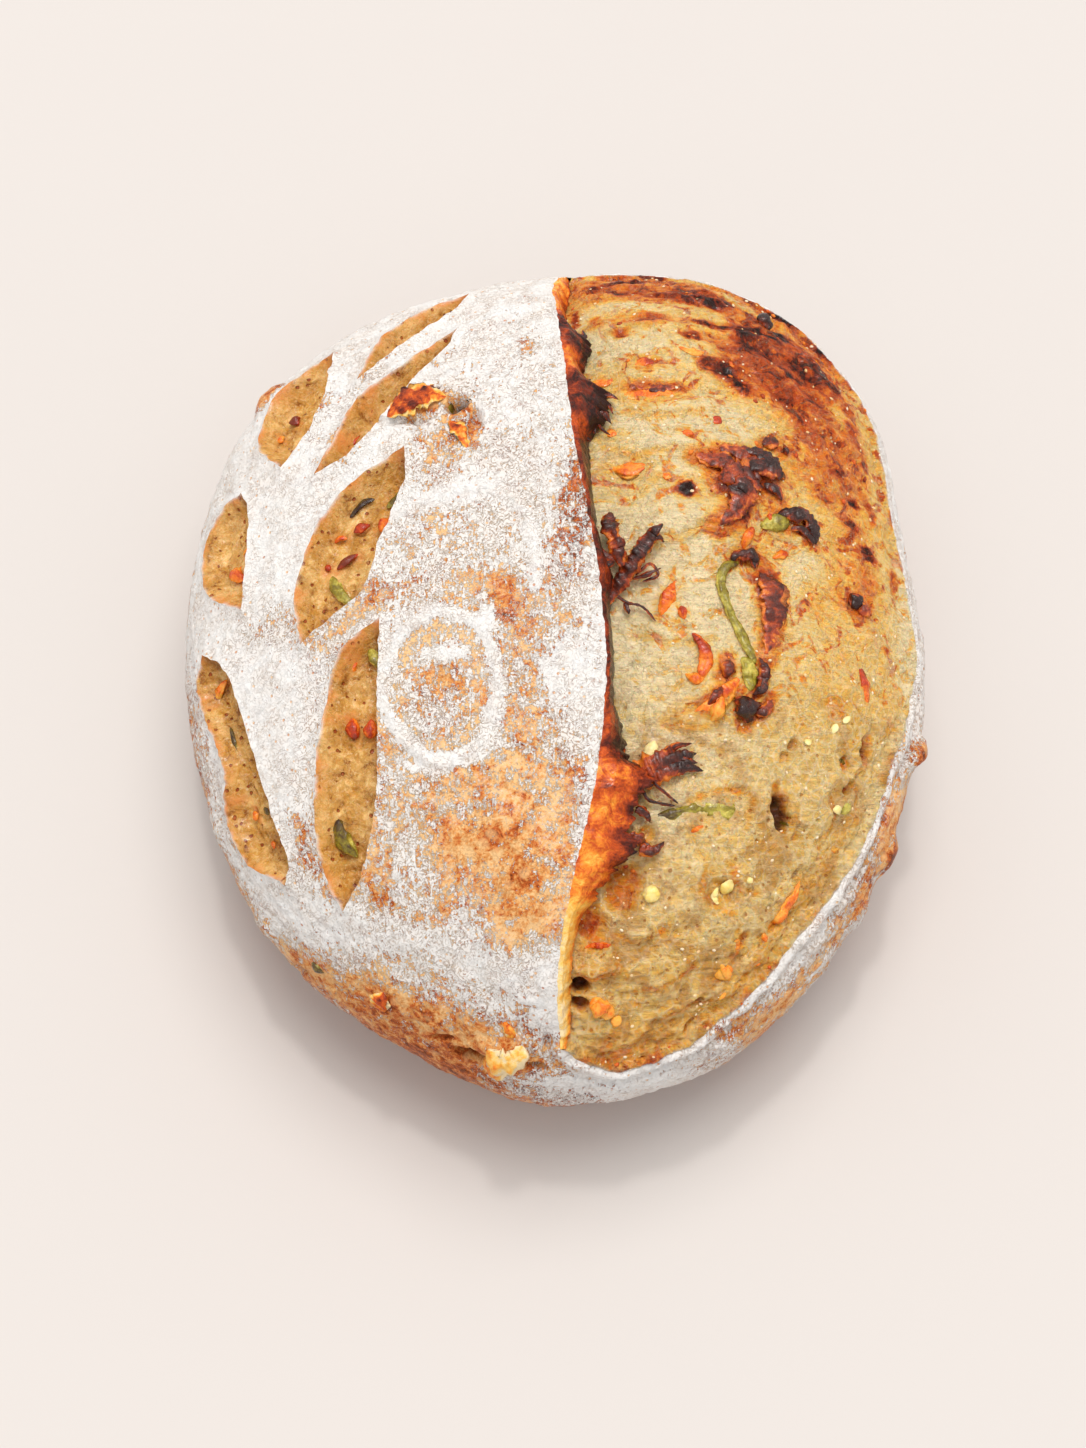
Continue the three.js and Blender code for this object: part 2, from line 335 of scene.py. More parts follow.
# How baked the bloom is, from 0 for pale crumb to 1 for charred.
BLOOM_TOAST = [
    (30, -118, 40, 36, 0, 0.18), (28, -141, 30, 12, 20, 0.32), (62, -118, 8, 30, -35, 0.27),
    (85, -78, 7, 30, -38, 0.3), (82, -4, 26, 24, 0, 0.25), (20, -78, 14, 20, 0, 0.06),
    (54, -66, 30, 20, 0, 0.12), (24, 138, 30, 20, 0, 0.5), (30, 158, 36, 18, 0, 0.52),
    (78, 102, 42, 36, -28, 0.63), (92, 144, 40, 10, -40, 0.6), (96, 66, 28, 28, 0, 0.52),
    (98, 28, 22, 26, 0, 0.42), (118, 60, 7, 60, 0, 0.3), (114, -8, 8, 22, 0, 0.25),
    (24, 122, 15, 8, 0, 0.12), (20, 97, 19, 9, 0, 0.1), (50, 124, 9, 5, 0, 0.3),
    (62, 138, 24, 9, -12, 0.66), (90, 112, 18, 14, -30, 0.64), (64, 92, 19, 12, -10, 0.58),
    (28, 62, 24, 9, 0, 0.03), (42, 96, 9, 7, 0, 0.18), (20, 45, 14, 10, 0, 0.27),
    (30, 78, 17, 8, 0, 0.34), (30, 78, 9, 5, 0, 0.5), (14, 83, 7, 4, 0, 0.34), (28, 90, 5, 4.5, 0, 0.42),
    (16, 60, 8, 4, 0, 0.24), (15, 114, 8, 2.5, 12, 0.48), (21, 107, 3, 3, 0, 0.8),
    (13, 117, 2.4, 2.4, 0, 0.62), (22, 88, 16, 6, 0, 0.27), (14, 83, 6, 3.4, 0, 0.36),
    (28, 90, 5, 4.5, 0, 0.42), (27, 114, 15, 6.5, 0, 0.42), (32, 114, 8, 4, 0, 0.56),
    (22, 138, 4, 2.4, 0, 0.66), (34, 136, 5, 2.2, -10, 0.64), (14, 142, 2.4, 3, 0, 0.7),
    (46, 132, 5, 2, -14, 0.66), (31, 76, 6, 2.4, 0, 0.3), (18, 46, 7, 3.4, 0, 0.3),
    (5, 132, 3, 14, 0, 0.4), (7, 122, 1.4, 6, 0, 0.75), (53, 90, 5, 4, 0, 0.82),
    (58, 84, 5, 3, -30, 0.84), (47, 92, 4, 3, 0, 0.74), (70, 92, 5, 5, 0, 0.7),
    (77, 98, 4, 2.5, -30, 0.8), (52, 115, 8, 2.2, 5, 0.8), (44, 106, 4, 3, 0, 0.76),
    (54, 134, 7, 3, -20, 0.82), (63, 114, 4, 3.5, 0, 0.85), (96, 108, 9, 6, -40, 0.78),
    (86, 90, 5, 3, 0, 0.7), (80, 76, 8, 4, -20, 0.6), (98, 90, 6, 7, 0, 0.36), (72, 118, 7, 3, -15, 0.84),
    (66, 104, 8, 4, -20, 0.82), (84, 104, 7, 3.4, -30, 0.84), (74, 84, 6, 3, -10, 0.74),
    (104, 84, 3, 6, 10, 0.72), (90, 62, 5, 2.6, -30, 0.66), (110, 56, 3, 5, 10, 0.62),
    (44, 136, 7, 2.4, -6, 0.78), (26, 150, 8, 3, 8, 0.74), (14, 146, 4, 2.4, 0, 0.7),
    (82, 124, 7, 3, -35, 0.84), (96, 44, 5, 3, 0, 0.6), (55, 45, 15, 13, 30, 0.4),
    (47, 52, 8, 3.6, -10, 0.66), (53, 47, 9, 7, 40, 0.76), (51, 35, 9, 4, 55, 0.72),
    (56, 26, 6, 5, 0, 0.34), (64, 28, 7, 5, 0, 0.36), (45, -12, 7, 6, 0, 0.3), (37, 41, 4.5, 4.5, 0, 0.4),
    (37, 41, 2.4, 2.2, 0, 0.92), (39.5, 60, 1.8, 1.5, 0, 0.55), (61, 11, 4.6, 12, 8, 0.6),
    (61, 12, 2.4, 8, 8, 0.72), (61, -4, 3, 7, -8, 0.42), (78, 12, 6, 8, 0, 0.36),
    (37, -24, 9, 4, 12, 0.28), (105, 37, 4.4, 3, -10, 0.85), (122, 33, 4, 4, 30, 0.6),
    (101, 55, 3.6, 1.6, 0, 0.82), (103, 26, 5, 5, 0, 0.52), (40, 6, 8, 18, 0, 0.04),
    # (10, -88) and (20, -76) are painted shade below the ear's torn flap.
    (24, -10, 8, 14, 0, 0.07), (10, -88, 4, 8, 0, 0.5), (20, -76, 6, 8, 0, 0.3), (70, 25, 8, 5, 0, 0.16),
    (78, 44, 10, 5, 0, 0.3), (88, 52, 9, 3, 0, 0.5), (112, 3, 1.8, 1.2, 0, 0.5),
]

# Where the bloom is olive yellow, from 0 to 1.
BLOOM_OLIVE = [
    (80, -42, 24, 20, -15, 0.75), (108, 2, 9, 26, 0, 0.55), (58, -58, 14, 18, 0, 0.45),
    (82, -20, 24, 14, 0, 0.35), (60, -80, 22, 14, 0, 0.4), (28, -96, 22, 14, 0, 0.3),
    # (19, -78) tints the painted shade below the ear's torn flap.
    (19, -78, 8, 10, 0, 1.0), (34, -112, 34, 40, 0, 0.5), (70, -84, 30, 34, -20, 0.55),
    (84, -36, 26, 26, 0, 0.75), (96, 88, 5, 6, 0, 0.6), (100, 14, 6, 6, 0, 0.7), (12, 52, 6, 6, 0, 0.5),
    (28, 139, 2.4, 3.4, 0, 1.0), (62, -74, 3, 2, 0, 0.9), (31, -68, 1.6, 1.3, 0, 1.0),
    (36, 118, 20, 20, 0, 0.0),
]

# How much flour lies on the crust, from 0 to 1.
CRUST_FLOUR = [
    (-22, 22, 36, 30, 0, 0.6), (-32, -60, 50, 54, 0, 0.34), (-4, 20, 12, 60, 0, 0.6),
    (-14, -58, 20, 40, 0, 0.2), (-24, 74, 16, 14, 0, 0.7), (-66, 62, 5, 20, -30, 0.72),
    (-56, 92, 4, 20, -35, 0.66), (-56, -132, 66, 20, -12, -0.15), (-92, -122, 24, 10, -28, 0.0),
    (-76, -178, 84, 36, -14, -0.4), (-84, -18, 12, 34, 12, 0.9), (-140, -110, 24, 40, 30, 0.3),
    (90, -160, 60, 26, -38, 0.22), (132, -70, 16, 60, 20, 0.2), (20, -158, 34, 9, 0, 0.85),
    (60, -150, 30, 9, -30, 0.7), (124, -78, 13, 46, -32, 0.12), (96, -126, 13, 36, -40, 0.05),
    (146, -60, 16, 60, -12, -0.1), (116, -108, 3, 16, -34, 0.7), (132, -80, 3, 14, -24, 0.66),
    (104, -118, 2.4, 12, -40, 0.7), (126, -96, 2, 10, -30, 0.6), (140, 20, 20, 60, 0, 0.7),
    (-12, -2, 16, 14, 0, 0.4), (3, 10, 6, 30, -6, 0.48), (6, 36, 4, 10, -12, 0.2),
    (-2, 60, 5, 30, 0, 0.72), (6, -22, 7, 14, 0, 0.85), (8, -56, 3, 24, -6, 0.7),
    (0, -60, 6, 30, -4, 0.26), (2, -14, 4, 8, 0, 0.9), (-32, 54, 10, 14, 0, 0.42),
    (-26, 24, 14, 10, 0, 0.58), (-22, 38, 16, 3, 0, 0.85), (-25, 10, 12, 5, 0, 0.42),
    (-32, -16, 13, 16, 0, 0.5), (-30, -17, 6, 5, 0, 0.2), (-28, -9, 8, 2, 0, 0.9),
    (-14, 5, 6, 6, 0, 0.16), (-42, -72, 8, 14, 0, 0.62), (-48, -50, 5, 16, 0, 0.5),
    (-52, -82, 5, 9, 0, 0.2), (-30, -50, 12, 8, 0, 0.34), (-24, -88, 8, 14, 0, 0.6),
    (-9, -82, 10, 14, 0, 0.08), (-44, -95, 22, 6, 0, 0.72), (-70, -92, 20, 8, 0, 0.8),
    (-18, -103, 24, 7, 0, 0.86), (-42, -108, 10, 6, 0, 0.55), (-19, -62, 11, 5, 0, -0.2),
    (-8, -71, 5, 6, 0, -0.2), (-28, -38, 13, 3, 12, 1.1), (-38, -31, 3, 6, 40, 1.1),
    (-16, -26, 3, 9, -12, 0.95), (-18, 0, 3, 5, 0, 0.95), (-66, 3, 10, 8, 30, 0.45),
    (-78, 6, 12, 8, 0, 0.55), (-60, -4, 7, 5, 40, 0.36), (-50, 8, 7, 6, 40, 0.35),
    (-75, 78, 7, 12, 0, 0.62), (-64, 66, 3, 6, -30, 0.4), (-38, 73, 8, 5, 0, 0.0),
    (-26, 62, 5, 9, 10, 0.22), (-8, 92, 4, 8, 0, 0.45), (-14, 104, 12, 8, 0, 0.74),
    (-76, -62, 4, 5, 0, 0.25), (-76, -71, 4, 5, 0, 0.3), (-84, -72, 4, 6, 0, 0.55),
    (-12, 76, 10, 10, 0, 0.74), (-2, -112, 5, 16, 0, 0.95), (-4, -136, 12, 8, 0, 0.5),
    (-60, -113, 8, 5, 0, 0.25), (-134, -30, 14, 30, 0, 0.5), (-150, -40, 10, 50, 0, 0.3),
    (-92, 4, 6, 4, 0, 0.5), (-134, -84, 16, 30, 20, 0.36), (-118, -62, 5, 18, 20, 0.6),
    (-38, 73, 9, 5.5, 0, -0.1), (-26, 62, 5, 8, 10, 0.15), (140, -30, 9, 5, 10, -0.2),
    (137, -74, 7, 7, 30, -0.2), (30, 196, 60, 12, 0, 0.5), (-84, 172, 40, 14, 35, 0.45),
    (158, 96, 12, 46, 24, 0.55), (-150, 60, 12, 40, -10, 0.55), (-103, 106, 8, 5, 40, 0.0),
    (-20, -142, 16, 9, 0, -0.2), (-60, 60, 4, 8, -30, 0.5), (-34, 92, 8, 3, 40, 0.6),
]

# How browned the bare crust is, from 0 to 1.
CRUST_TOAST = [
    (-50, -128, 80, 26, -12, 0.4), (-60, -164, 110, 22, -12, 0.72), (70, -160, 60, 20, -35, 0.45),
    (120, -80, 16, 60, 35, 0.45), (-10, -80, 12, 16, 0, 0.2), (-20, -62, 9, 4, 0, 0.55),
    (-16, -62, 4, 3, 0, 0.72), (-8, -71, 5, 5, 0, 0.5), (-14, 4, 6, 8, 20, 0.46),
    (6, 37, 5, 10, -12, 0.8), (5, 20, 5, 14, -8, 0.62), (-30, -17, 8, 8, 0, 0.4), (-38, 73, 8, 6, 0, 0.5),
    (-26, 62, 5, 9, 0, 0.55), (5, -48, 5, 9, 0, 0.6), (8, -62, 2.5, 16, 0, 0.66),
    (-3, -125, 8, 8, 0, 0.66), (-60, -124, 4, 8, 20, 0.6), (-140, -30, 30, 40, 0, 0.5),
    (-52, -82, 3.4, 10, 0, 0.48), (-76, -66, 4, 7, 0, 0.5), (140, -30, 9, 5, 10, 0.82),
    (137, -74, 7, 7, 30, 0.86), (-103, 106, 8, 5, 40, 0.6), (-24, -144, 6, 5, 0, 0.9),
]

# Ring marks in the flour: lines of a low floured ridge.
RINGS = [
    [(-31, 3), (-40, -2), (-46, -14), (-45, -26), (-38, -36), (-30, -40), (-21, -36), (-16, -26), (-15, -14),
     (-20, -2), (-31, 3)],
    [(-46, 34), (-34, 37), (-22, 39), (-11, 34), (-6, 24), (-5, 8)],
]

RING_LINES = [smooth_line(ring, 2) for ring in RINGS]

# Torn layers of the bloom: a line whose left side stands higher, how high, and how far that reaches.
LEDGES = [
    ([(24, 20), (30, 26), (35, 26), (41, 29), (49, 30), (58, 30)], 2.2, 14),
    ([(30, -28), (40, -29), (47, -23), (46, -15)], 1.4, 7),
    ([(14, 56), (24, 53), (34, 55), (44, 52)], 1.0, 8),
    ([(20, 70), (30, 67), (42, 69)], 0.9, 6),
    ([(22, -2), (34, -5), (44, -3)], 0.7, 7),
    ([(8, -107), (14, -106), (19, -103), (18, -98)], 2.0, 5),
    ([(54, -86), (48, -83), (43, -78), (44, -72)], 1.2, 5),
    ([(56, -103), (60, -96), (56, -92)], 1.2, 5),
    ([(74, -62), (70, -52), (64, -46)], 1.5, 7),
    ([(100, -52), (97, -42), (104, -36), (103, -28)], 1.6, 7),
    ([(38, -50), (48, -47), (55, -50), (55, -58)], 1.0, 5),
    ([(18, -92), (25, -94), (33, -90)], 1.4, 6),
    ([(52, -70), (55, -77), (61, -80)], 1.3, 6),
    ([(34, -128), (42, -122), (52, -120)], 1.2, 6),
    ([(84, -66), (88, -58), (86, -50)], 1.4, 7),
    ([(26, -112), (36, -110), (44, -104)], 1.0, 6),
]

# Hollows in the bloom and the crust: patches whose value is the depth.
BLOOM_HOLLOWS = [
    (67, -54, 3, 7, 24, 5.5), (101, -33, 2.8, 5, 10, 4.5), (92, -38, 3, 3.4, 0, 2.4),
    (94, -46, 3, 2, 40, 2.8), (70, -33, 2, 1.6, 40, 2.4), (68, -37, 2.4, 2, 30, 2),
    (8, -111, 3, 3.4, 0, 5), (8, -118, 3, 3, 0, 4), (47, -120, 1.8, 2.6, -30, 2.4),
    (46, -131, 1.2, 3.5, -20, 2.2), (50, -79, 6, 5, 20, 1.8), (71, -93, 1.8, 2.6, -30, 2.2),
    (59, -96, 2, 4, -20, 2.2), (26, -60, 3, 4, 0, 2.4), (95, 15, 3.4, 3.6, 0, 1.2),
    (13, -92, 5, 8, 0, 2.0), (20, -76, 7, 9, 0, 2.6), (52, -47, 3, 1.6, 0, 1.6), (33, 68, 9, 0.8, 4, 0.9),
    (76, -75, 1.6, 1.6, 0, 1.6), (67, -1, 3, 1.2, -5, 1.0),
]
CRUST_HOLLOWS = [
    (-31, -146, 7, 4.4, 20, 6), (-28, 70, 3.4, 3, 30, 4.4), (-22, 64, 1.6, 4, 20, 2.6),
    (-44, 66.5, 8, 1.3, -8, 2.6), (-41, 78, 8, 1.1, -4, 1.8), (-107, -124, 10, 2.2, 18, 3.4),
    (-8, -146, 6, 2, -20, 3.2), (-2, -134, 1.6, 5, 0, 1.6), (-40, -138, 5, 2, 20, 1.6),
]

# Raised lumps of the crust and the bloom: patches whose value is the height.
CRUST_RIDGES = [
    (140, -30, 10, 6, 10, 3.4), (137, -74, 8, 8, 30, 2.6), (-103, 106, 9, 8, 40, 2.6),
    (-16, -140, 9, 8, 0, 3.0), (-38, 73, 9, 6, 0, 0.9), (124, -98, 7, 10, 35, 1.4),
    (108, -120, 9, 6, -40, 1.2), (-118, -104, 10, 8, 30, 1.2), (-8, -84, 14, 20, 0, 0.5),
    (-20, -62, 12, 5, 0, 0.5), (-132, -60, 8, 14, 0, 1.2), (66, -146, 12, 5, -32, 1.4),
]
BLOOM_RIDGES = [
    (61, 8, 4.5, 13, 6, 1.7), (54, 46, 9, 7, 35, 1.2), (38, 32, 10, 4, 8, 0.8), (74, 36, 8, 5, -10, 1.2),
    (70, 96, 16, 8, -20, 1.0), (96, 108, 10, 6, -40, 1.2), (60, 134, 16, 4, -10, 0.8),
    (30, 110, 12, 3, 0, 0.9), (58, -60, 4, 12, 10, 1.2), (80, -46, 8, 16, -20, 1.0),
    (64, -108, 4, 14, -35, 1.0), (22, -104, 8, 3, 8, 1.4),
]


# ---------------------------------------------------------------- Relief of the crust, bloom and cuts


def hollows(p, q, places):
    """The deepest of the steep-sided hollows at each map point."""
    total = np.zeros(p.shape)
    for place in places:
        total = np.maximum(total, place[5] * smooth_band(patch_shares(p, q, place), 0.15, 0.8))
    return total


def bit_shares(p, q, strips, reach, highest=2.4):
    """How near each map point is to the strips that lie on the surface, from 0 to 1."""
    shares = np.zeros(p.shape)
    for path, widths, *_ in strips:
        if max(knot[2] for knot in path) > highest:
            continue
        away = distance_to(smooth_line(path, 1.5)[:, :2], p, q, 4 * reach) - 0.35 * max(widths)
        shares = np.maximum(shares, bell(np.maximum(away, 0), reach))
    return shares


def ridges(p, q, places):
    total = np.zeros(p.shape)
    for place in places:
        total += place[5] * patch_shares(p, q, place)
    return total


def torn_line(knots):
    return ragged(smooth_line(knots, 1.2), 0.9, 3)


def ledge_height(p, q, ledge):
    """A torn layer: steep at its line, and fading out on its left side and towards its ends."""
    knots, height, reach = ledge
    line = torn_line(knots)
    result = np.zeros(p.shape)
    near = distance_to(line, p, q, 2.2 * reach) < 2.2 * reach
    p, q = p[near], q[near]
    closest = np.full(p.shape, 1e9)
    side = np.zeros(p.shape)
    for (start_p, start_q), (end_p, end_q) in zip(line, line[1:]):
        away = np.hypot(p - (start_p + end_p) / 2, q - (start_q + end_q) / 2)
        turn = (end_p - start_p) * (q - start_q) - (end_q - start_q) * (p - start_p)
        side = np.where(away < closest, np.sign(turn), side)
        closest = np.minimum(closest, away)
    signed = distance_to(line, p, q, 99) * side
    from_ends = np.minimum(*(np.hypot(p - end[0], q - end[1]) for end in (line[0], line[-1])))
    step = smooth_band(signed, -0.35, 0.35) * bell(np.maximum(signed, 0), reach)
    result[near] = height * step * smooth_band(from_ends, 0, 0.7 * reach)
    return result


def ledge_shade(p, q):
    """Painted shadow: 1 along the foot of each torn layer, fading out within a millimetre or so."""
    nearest = np.full(p.shape, 9.0)
    for knots, _, _ in LEDGES:
        nearest = np.minimum(nearest, distance_to(torn_line(knots), p, q, 9))
    return bell(nearest, 0.9)


def ear_edge_p(q):
    knots = np.array(EAR_EDGE, float)[::-1]
    return np.interp(q, knots[:, 1], knots[:, 0])


def ear_lift(p, q, down):
    """The ear: highest at its edge, easing down behind it and falling away beyond it."""
    behind = np.maximum(ear_edge_p(q) - p, 0)
    beyond = np.maximum(p - ear_edge_p(q), 0)
    along = np.clip(1 - (q / EAR_HALF_LENGTH) ** 4, 0, 1) * (down < QUARTER) * bell(beyond, EAR_FALL)
    return along * (EAR_LIFT * bell(behind, EAR_SPREAD) + EAR_LIP * np.exp(-behind / EAR_LIP_SPREAD))


def rim_lift(p, q, front):
    """A low roll of crust along the bloom's rim, with a dip outside it at the front."""
    to_rim = to_rim_line(p, q)
    roll = (0.3 + 1.1 * front) * (1 + 0.5 * noise(p, q, 8, 15)) * bell(to_rim - 2.6, 2.4)
    return roll - 1.2 * front * bell(to_rim - 9.0, 2.2) * smooth_band(p, 0, 12)


def crust_lift(p, q):
    """Relief of the crust in millimetres above the bare dome."""
    down = angle_down(p, q)
    front = smooth_band(q, 30, -10)
    lift = ear_lift(p, q, down) + rim_lift(p, q, front)
    for outer, inner in LEAF_SIDES:
        lift += 0.75 * np.exp(-distance_to(outer[::2], p, q) / 2.2)
        lift += 0.95 * np.exp(-distance_to(inner[::2], p, q) / 2.6)
    for ring in RING_LINES:
        lift += RING_HEIGHT * bell(distance_to(ring, p, q), 1.3) * (1 + 0.4 * noise(p, q, 5, 8))
    lift += ridges(p, q, CRUST_RIDGES) - hollows(p, q, CRUST_HOLLOWS)
    lift += 0.55 * noise(p, q, 21, 1) + 0.28 * noise(p, q, 8, 2) + 0.15 * noise(p, q, 3.2, 3)
    lift += 0.3 * spots(p, q, 5.5, 0.5, 1) + 0.3 * front * smooth_band(down, 0.9, 1.2) * noise(p, q, 2.6, 16)
    return lift * smooth_band(down, BASE_ANGLE, BASE_ANGLE - 0.25)


def bloom_lift(p, q):
    """Relief of the bloom: a groove beside the ear, torn layers, fibres, hollows and pores."""
    to_rim = to_rim_line(p, q, 140)
    to_ear = distance_to(EAR_LINE[::2], p, q, 140)
    across = to_ear / (to_ear + to_rim + 1e-6)
    toasted = smooth_band(painted(p, q, 0.12, BLOOM_TOAST), 0.3, 0.6)
    fibre = fibre_share(q)
    inner = -BLOOM_DEPTH - (GROOVE_DEPTH - BLOOM_DEPTH) * bell(across, GROOVE_SHARE)
    inner += 1.1 * noise(p, q, 17, 1) + 0.8 * noise(p, q, 7, 2, 1.6)
    bend = 5 * noise(p, q, 24, 9) + 1.6 * noise(p, q, 7, 10)
    combed = fibre * smooth_band(noise(p, q, 14, 11), -0.7, 0.5)
    inner += combed * (0.36 * noise(p, q + bend, 2.3, 4, 6) + 0.2 * noise(p, q + bend, 1.4, 5, 5))
    inner += (1 - 0.7 * combed) * (0.42 * noise(p, q, 3.6, 6) + 0.22 * noise(p, q + bend, 2.2, 7, 1.2))
    inner += toasted * (0.45 * noise(p, q, 4, 8, 1.6) + 0.3 * noise(p, q, 1.9, 9, 1.5))
    inner -= (1 - fibre) * (0.95 * spots(p, q, 3.6, 0.4, 2) + 0.7 * spots(p, q, 2.2, 0.45, 3))
    for ledge in LEDGES:
        inner += ledge_height(p, q, ledge)
    inner += ridges(p, q, BLOOM_RIDGES) - hollows(p, q, BLOOM_HOLLOWS)
    away_from_rim = smooth_band(to_rim, 0, 3.6)
    return crust_lift(p, q) * (1 - away_from_rim) + inner * away_from_rim


def fibre_share(q):
    """Where the bloom is drawn out into fibres, which is everywhere but its front."""
    return smooth_band(q, -40, 10) * 0.85 + 0.15


def leaf_lift(p, q, outer, inner):
    """Relief inside a leaf cut: a gentle slope from its outer side, and a steep one at its inner side."""
    from_outer = smooth_band(distance_to(outer[::2], p, q), 0, 6.5)
    from_inner = smooth_band(distance_to(inner[::2], p, q), 0, 1.3)
    depth = LEAF_DEPTH + 0.5 + 0.5 * noise(p, q, 9, 3) + 0.3 * noise(p, q, 3, 4)
    depth += 1.2 * spots(p, q, 4.4, 0.4, 5) + 0.6 * spots(p, q, 2.4, 0.45, 6)
    sunk = from_outer * from_inner
    return crust_lift(p, q) * (1 - sunk) - depth * sunk


# ---------------------------------------------------------------- Meshes from the crust map


def staggered_points(low, high, spacing, seed):
    """Jittered points in staggered rows over a rectangle of the map."""
    rows = np.arange(low[1], high[1], spacing * ROW_SHARE)
    columns = np.arange(low[0], high[0], spacing)
    p, q = np.meshgrid(columns, rows)
    p = p + (np.arange(len(rows)) % 2)[:, None] * spacing / 2
    jitter = np.random.default_rng(seed).uniform(-JITTER_SHARE, JITTER_SHARE, (2,) + p.shape) * spacing
    return (p + jitter[0]).ravel(), (q + jitter[1]).ravel()


def joined(loops, p, q, clear):
    """Points and triangles that join the loops and those points that keep clear of them."""
    keep = np.ones(p.shape, bool)
    for loop in loops:
        keep &= distance_to(np.vstack([loop, loop[:1]]), p, q, clear * 1.01) > clear
    points = [Vector(pair) for loop in loops for pair in loop]
    points += [Vector(pair) for pair in zip(p[keep], q[keep])]
    edges = []
    first = 0
    for loop in loops:
        count = len(loop)
        edges += [(first + i, first + (i + 1) % count) for i in range(count)]
        first += count
    made = delaunay_2d_cdt(points, edges, [], 0, 1e-5)
    return np.array(made[0]), np.array(made[2])


def of_region(points, triangles, wanted):
    """The triangles whose middles pass the test, with the points that they use."""
    middles = points[triangles].mean(axis=1)
    kept = triangles[wanted(middles[:, 0], middles[:, 1])]
    used, again = np.unique(kept, return_inverse=True)
    return points[used], again.reshape(kept.shape)


def make_piece(name, points_mm, faces, material, attributes=None, uv=None):
    """A smooth mesh object in metres, with its attributes and its map coordinates as UV."""
    mesh = bpy.data.meshes.new(name)
    mesh.from_pydata((points_mm * MM).tolist(), [], [list(face) for face in faces])
    for key, values in (attributes or {}).items():
        made = mesh.attributes.new(key, "FLOAT", "POINT")
        made.data.foreach_set("value", np.asarray(values, np.float32))
    if uv is not None:
        corners = np.empty(len(mesh.loops), np.int32)
        mesh.loops.foreach_get("vertex_index", corners)
        layer = mesh.uv_layers.new(name="map")
        layer.data.foreach_set("uv", (uv[corners] / UV_UNIT).astype(np.float32).ravel())
    mesh.polygons.foreach_set("use_smooth", np.ones(len(mesh.polygons), bool))
    mesh.materials.append(material)
    mesh.validate()
    mesh.update()
    piece = bpy.data.objects.new(name, mesh)
    bpy.context.scene.collection.objects.link(piece)
    return piece


# ---------------------------------------------------------------- Colours and shader nodes


def linear(red, green, blue):
    """A colour given as display values from 0 to 255, as linear values with full alpha."""
    shares = [channel / 255 for channel in (red, green, blue)]
    return tuple(s / 12.92 if s <= 0.04045 else ((s + 0.055) / 1.055) ** 2.4 for s in shares) + (1.0,)


PALE_CRUMB = linear(255, 229, 180)
CREAM = linear(255, 213, 130)
STRAW = linear(255, 190, 80)
AMBER = linear(247, 141, 42)
TOAST = linear(208, 84, 24)
BROWN = linear(122, 40, 15)
CHAR = linear(46, 17, 10)
OLIVE = linear(240, 220, 146)
FLOUR = linear(238, 237, 235)
FLOUR_SHADE = linear(226, 214, 203)
BARE_CRUST = linear(240, 192, 134)
TAN_CRUST = linear(222, 152, 84)
RUSSET_CRUST = linear(194, 94, 36)
DARK_CRUST = linear(108, 50, 20)
LEAF_CRUMB = linear(216, 162, 84)
LEAF_SHADE = linear(178, 122, 44)
LEAF_EDGE = linear(224, 134, 58)
# The tint of the painted shade in the hollows of the crumb.
PAINTED_SHADE = linear(196, 158, 112)

# The middle value of each crumb's bump height, with painted shade below it and a painted highlight above.
BLOOM_MIDDLE = 0.33
LEAF_MIDDLE = 1.08


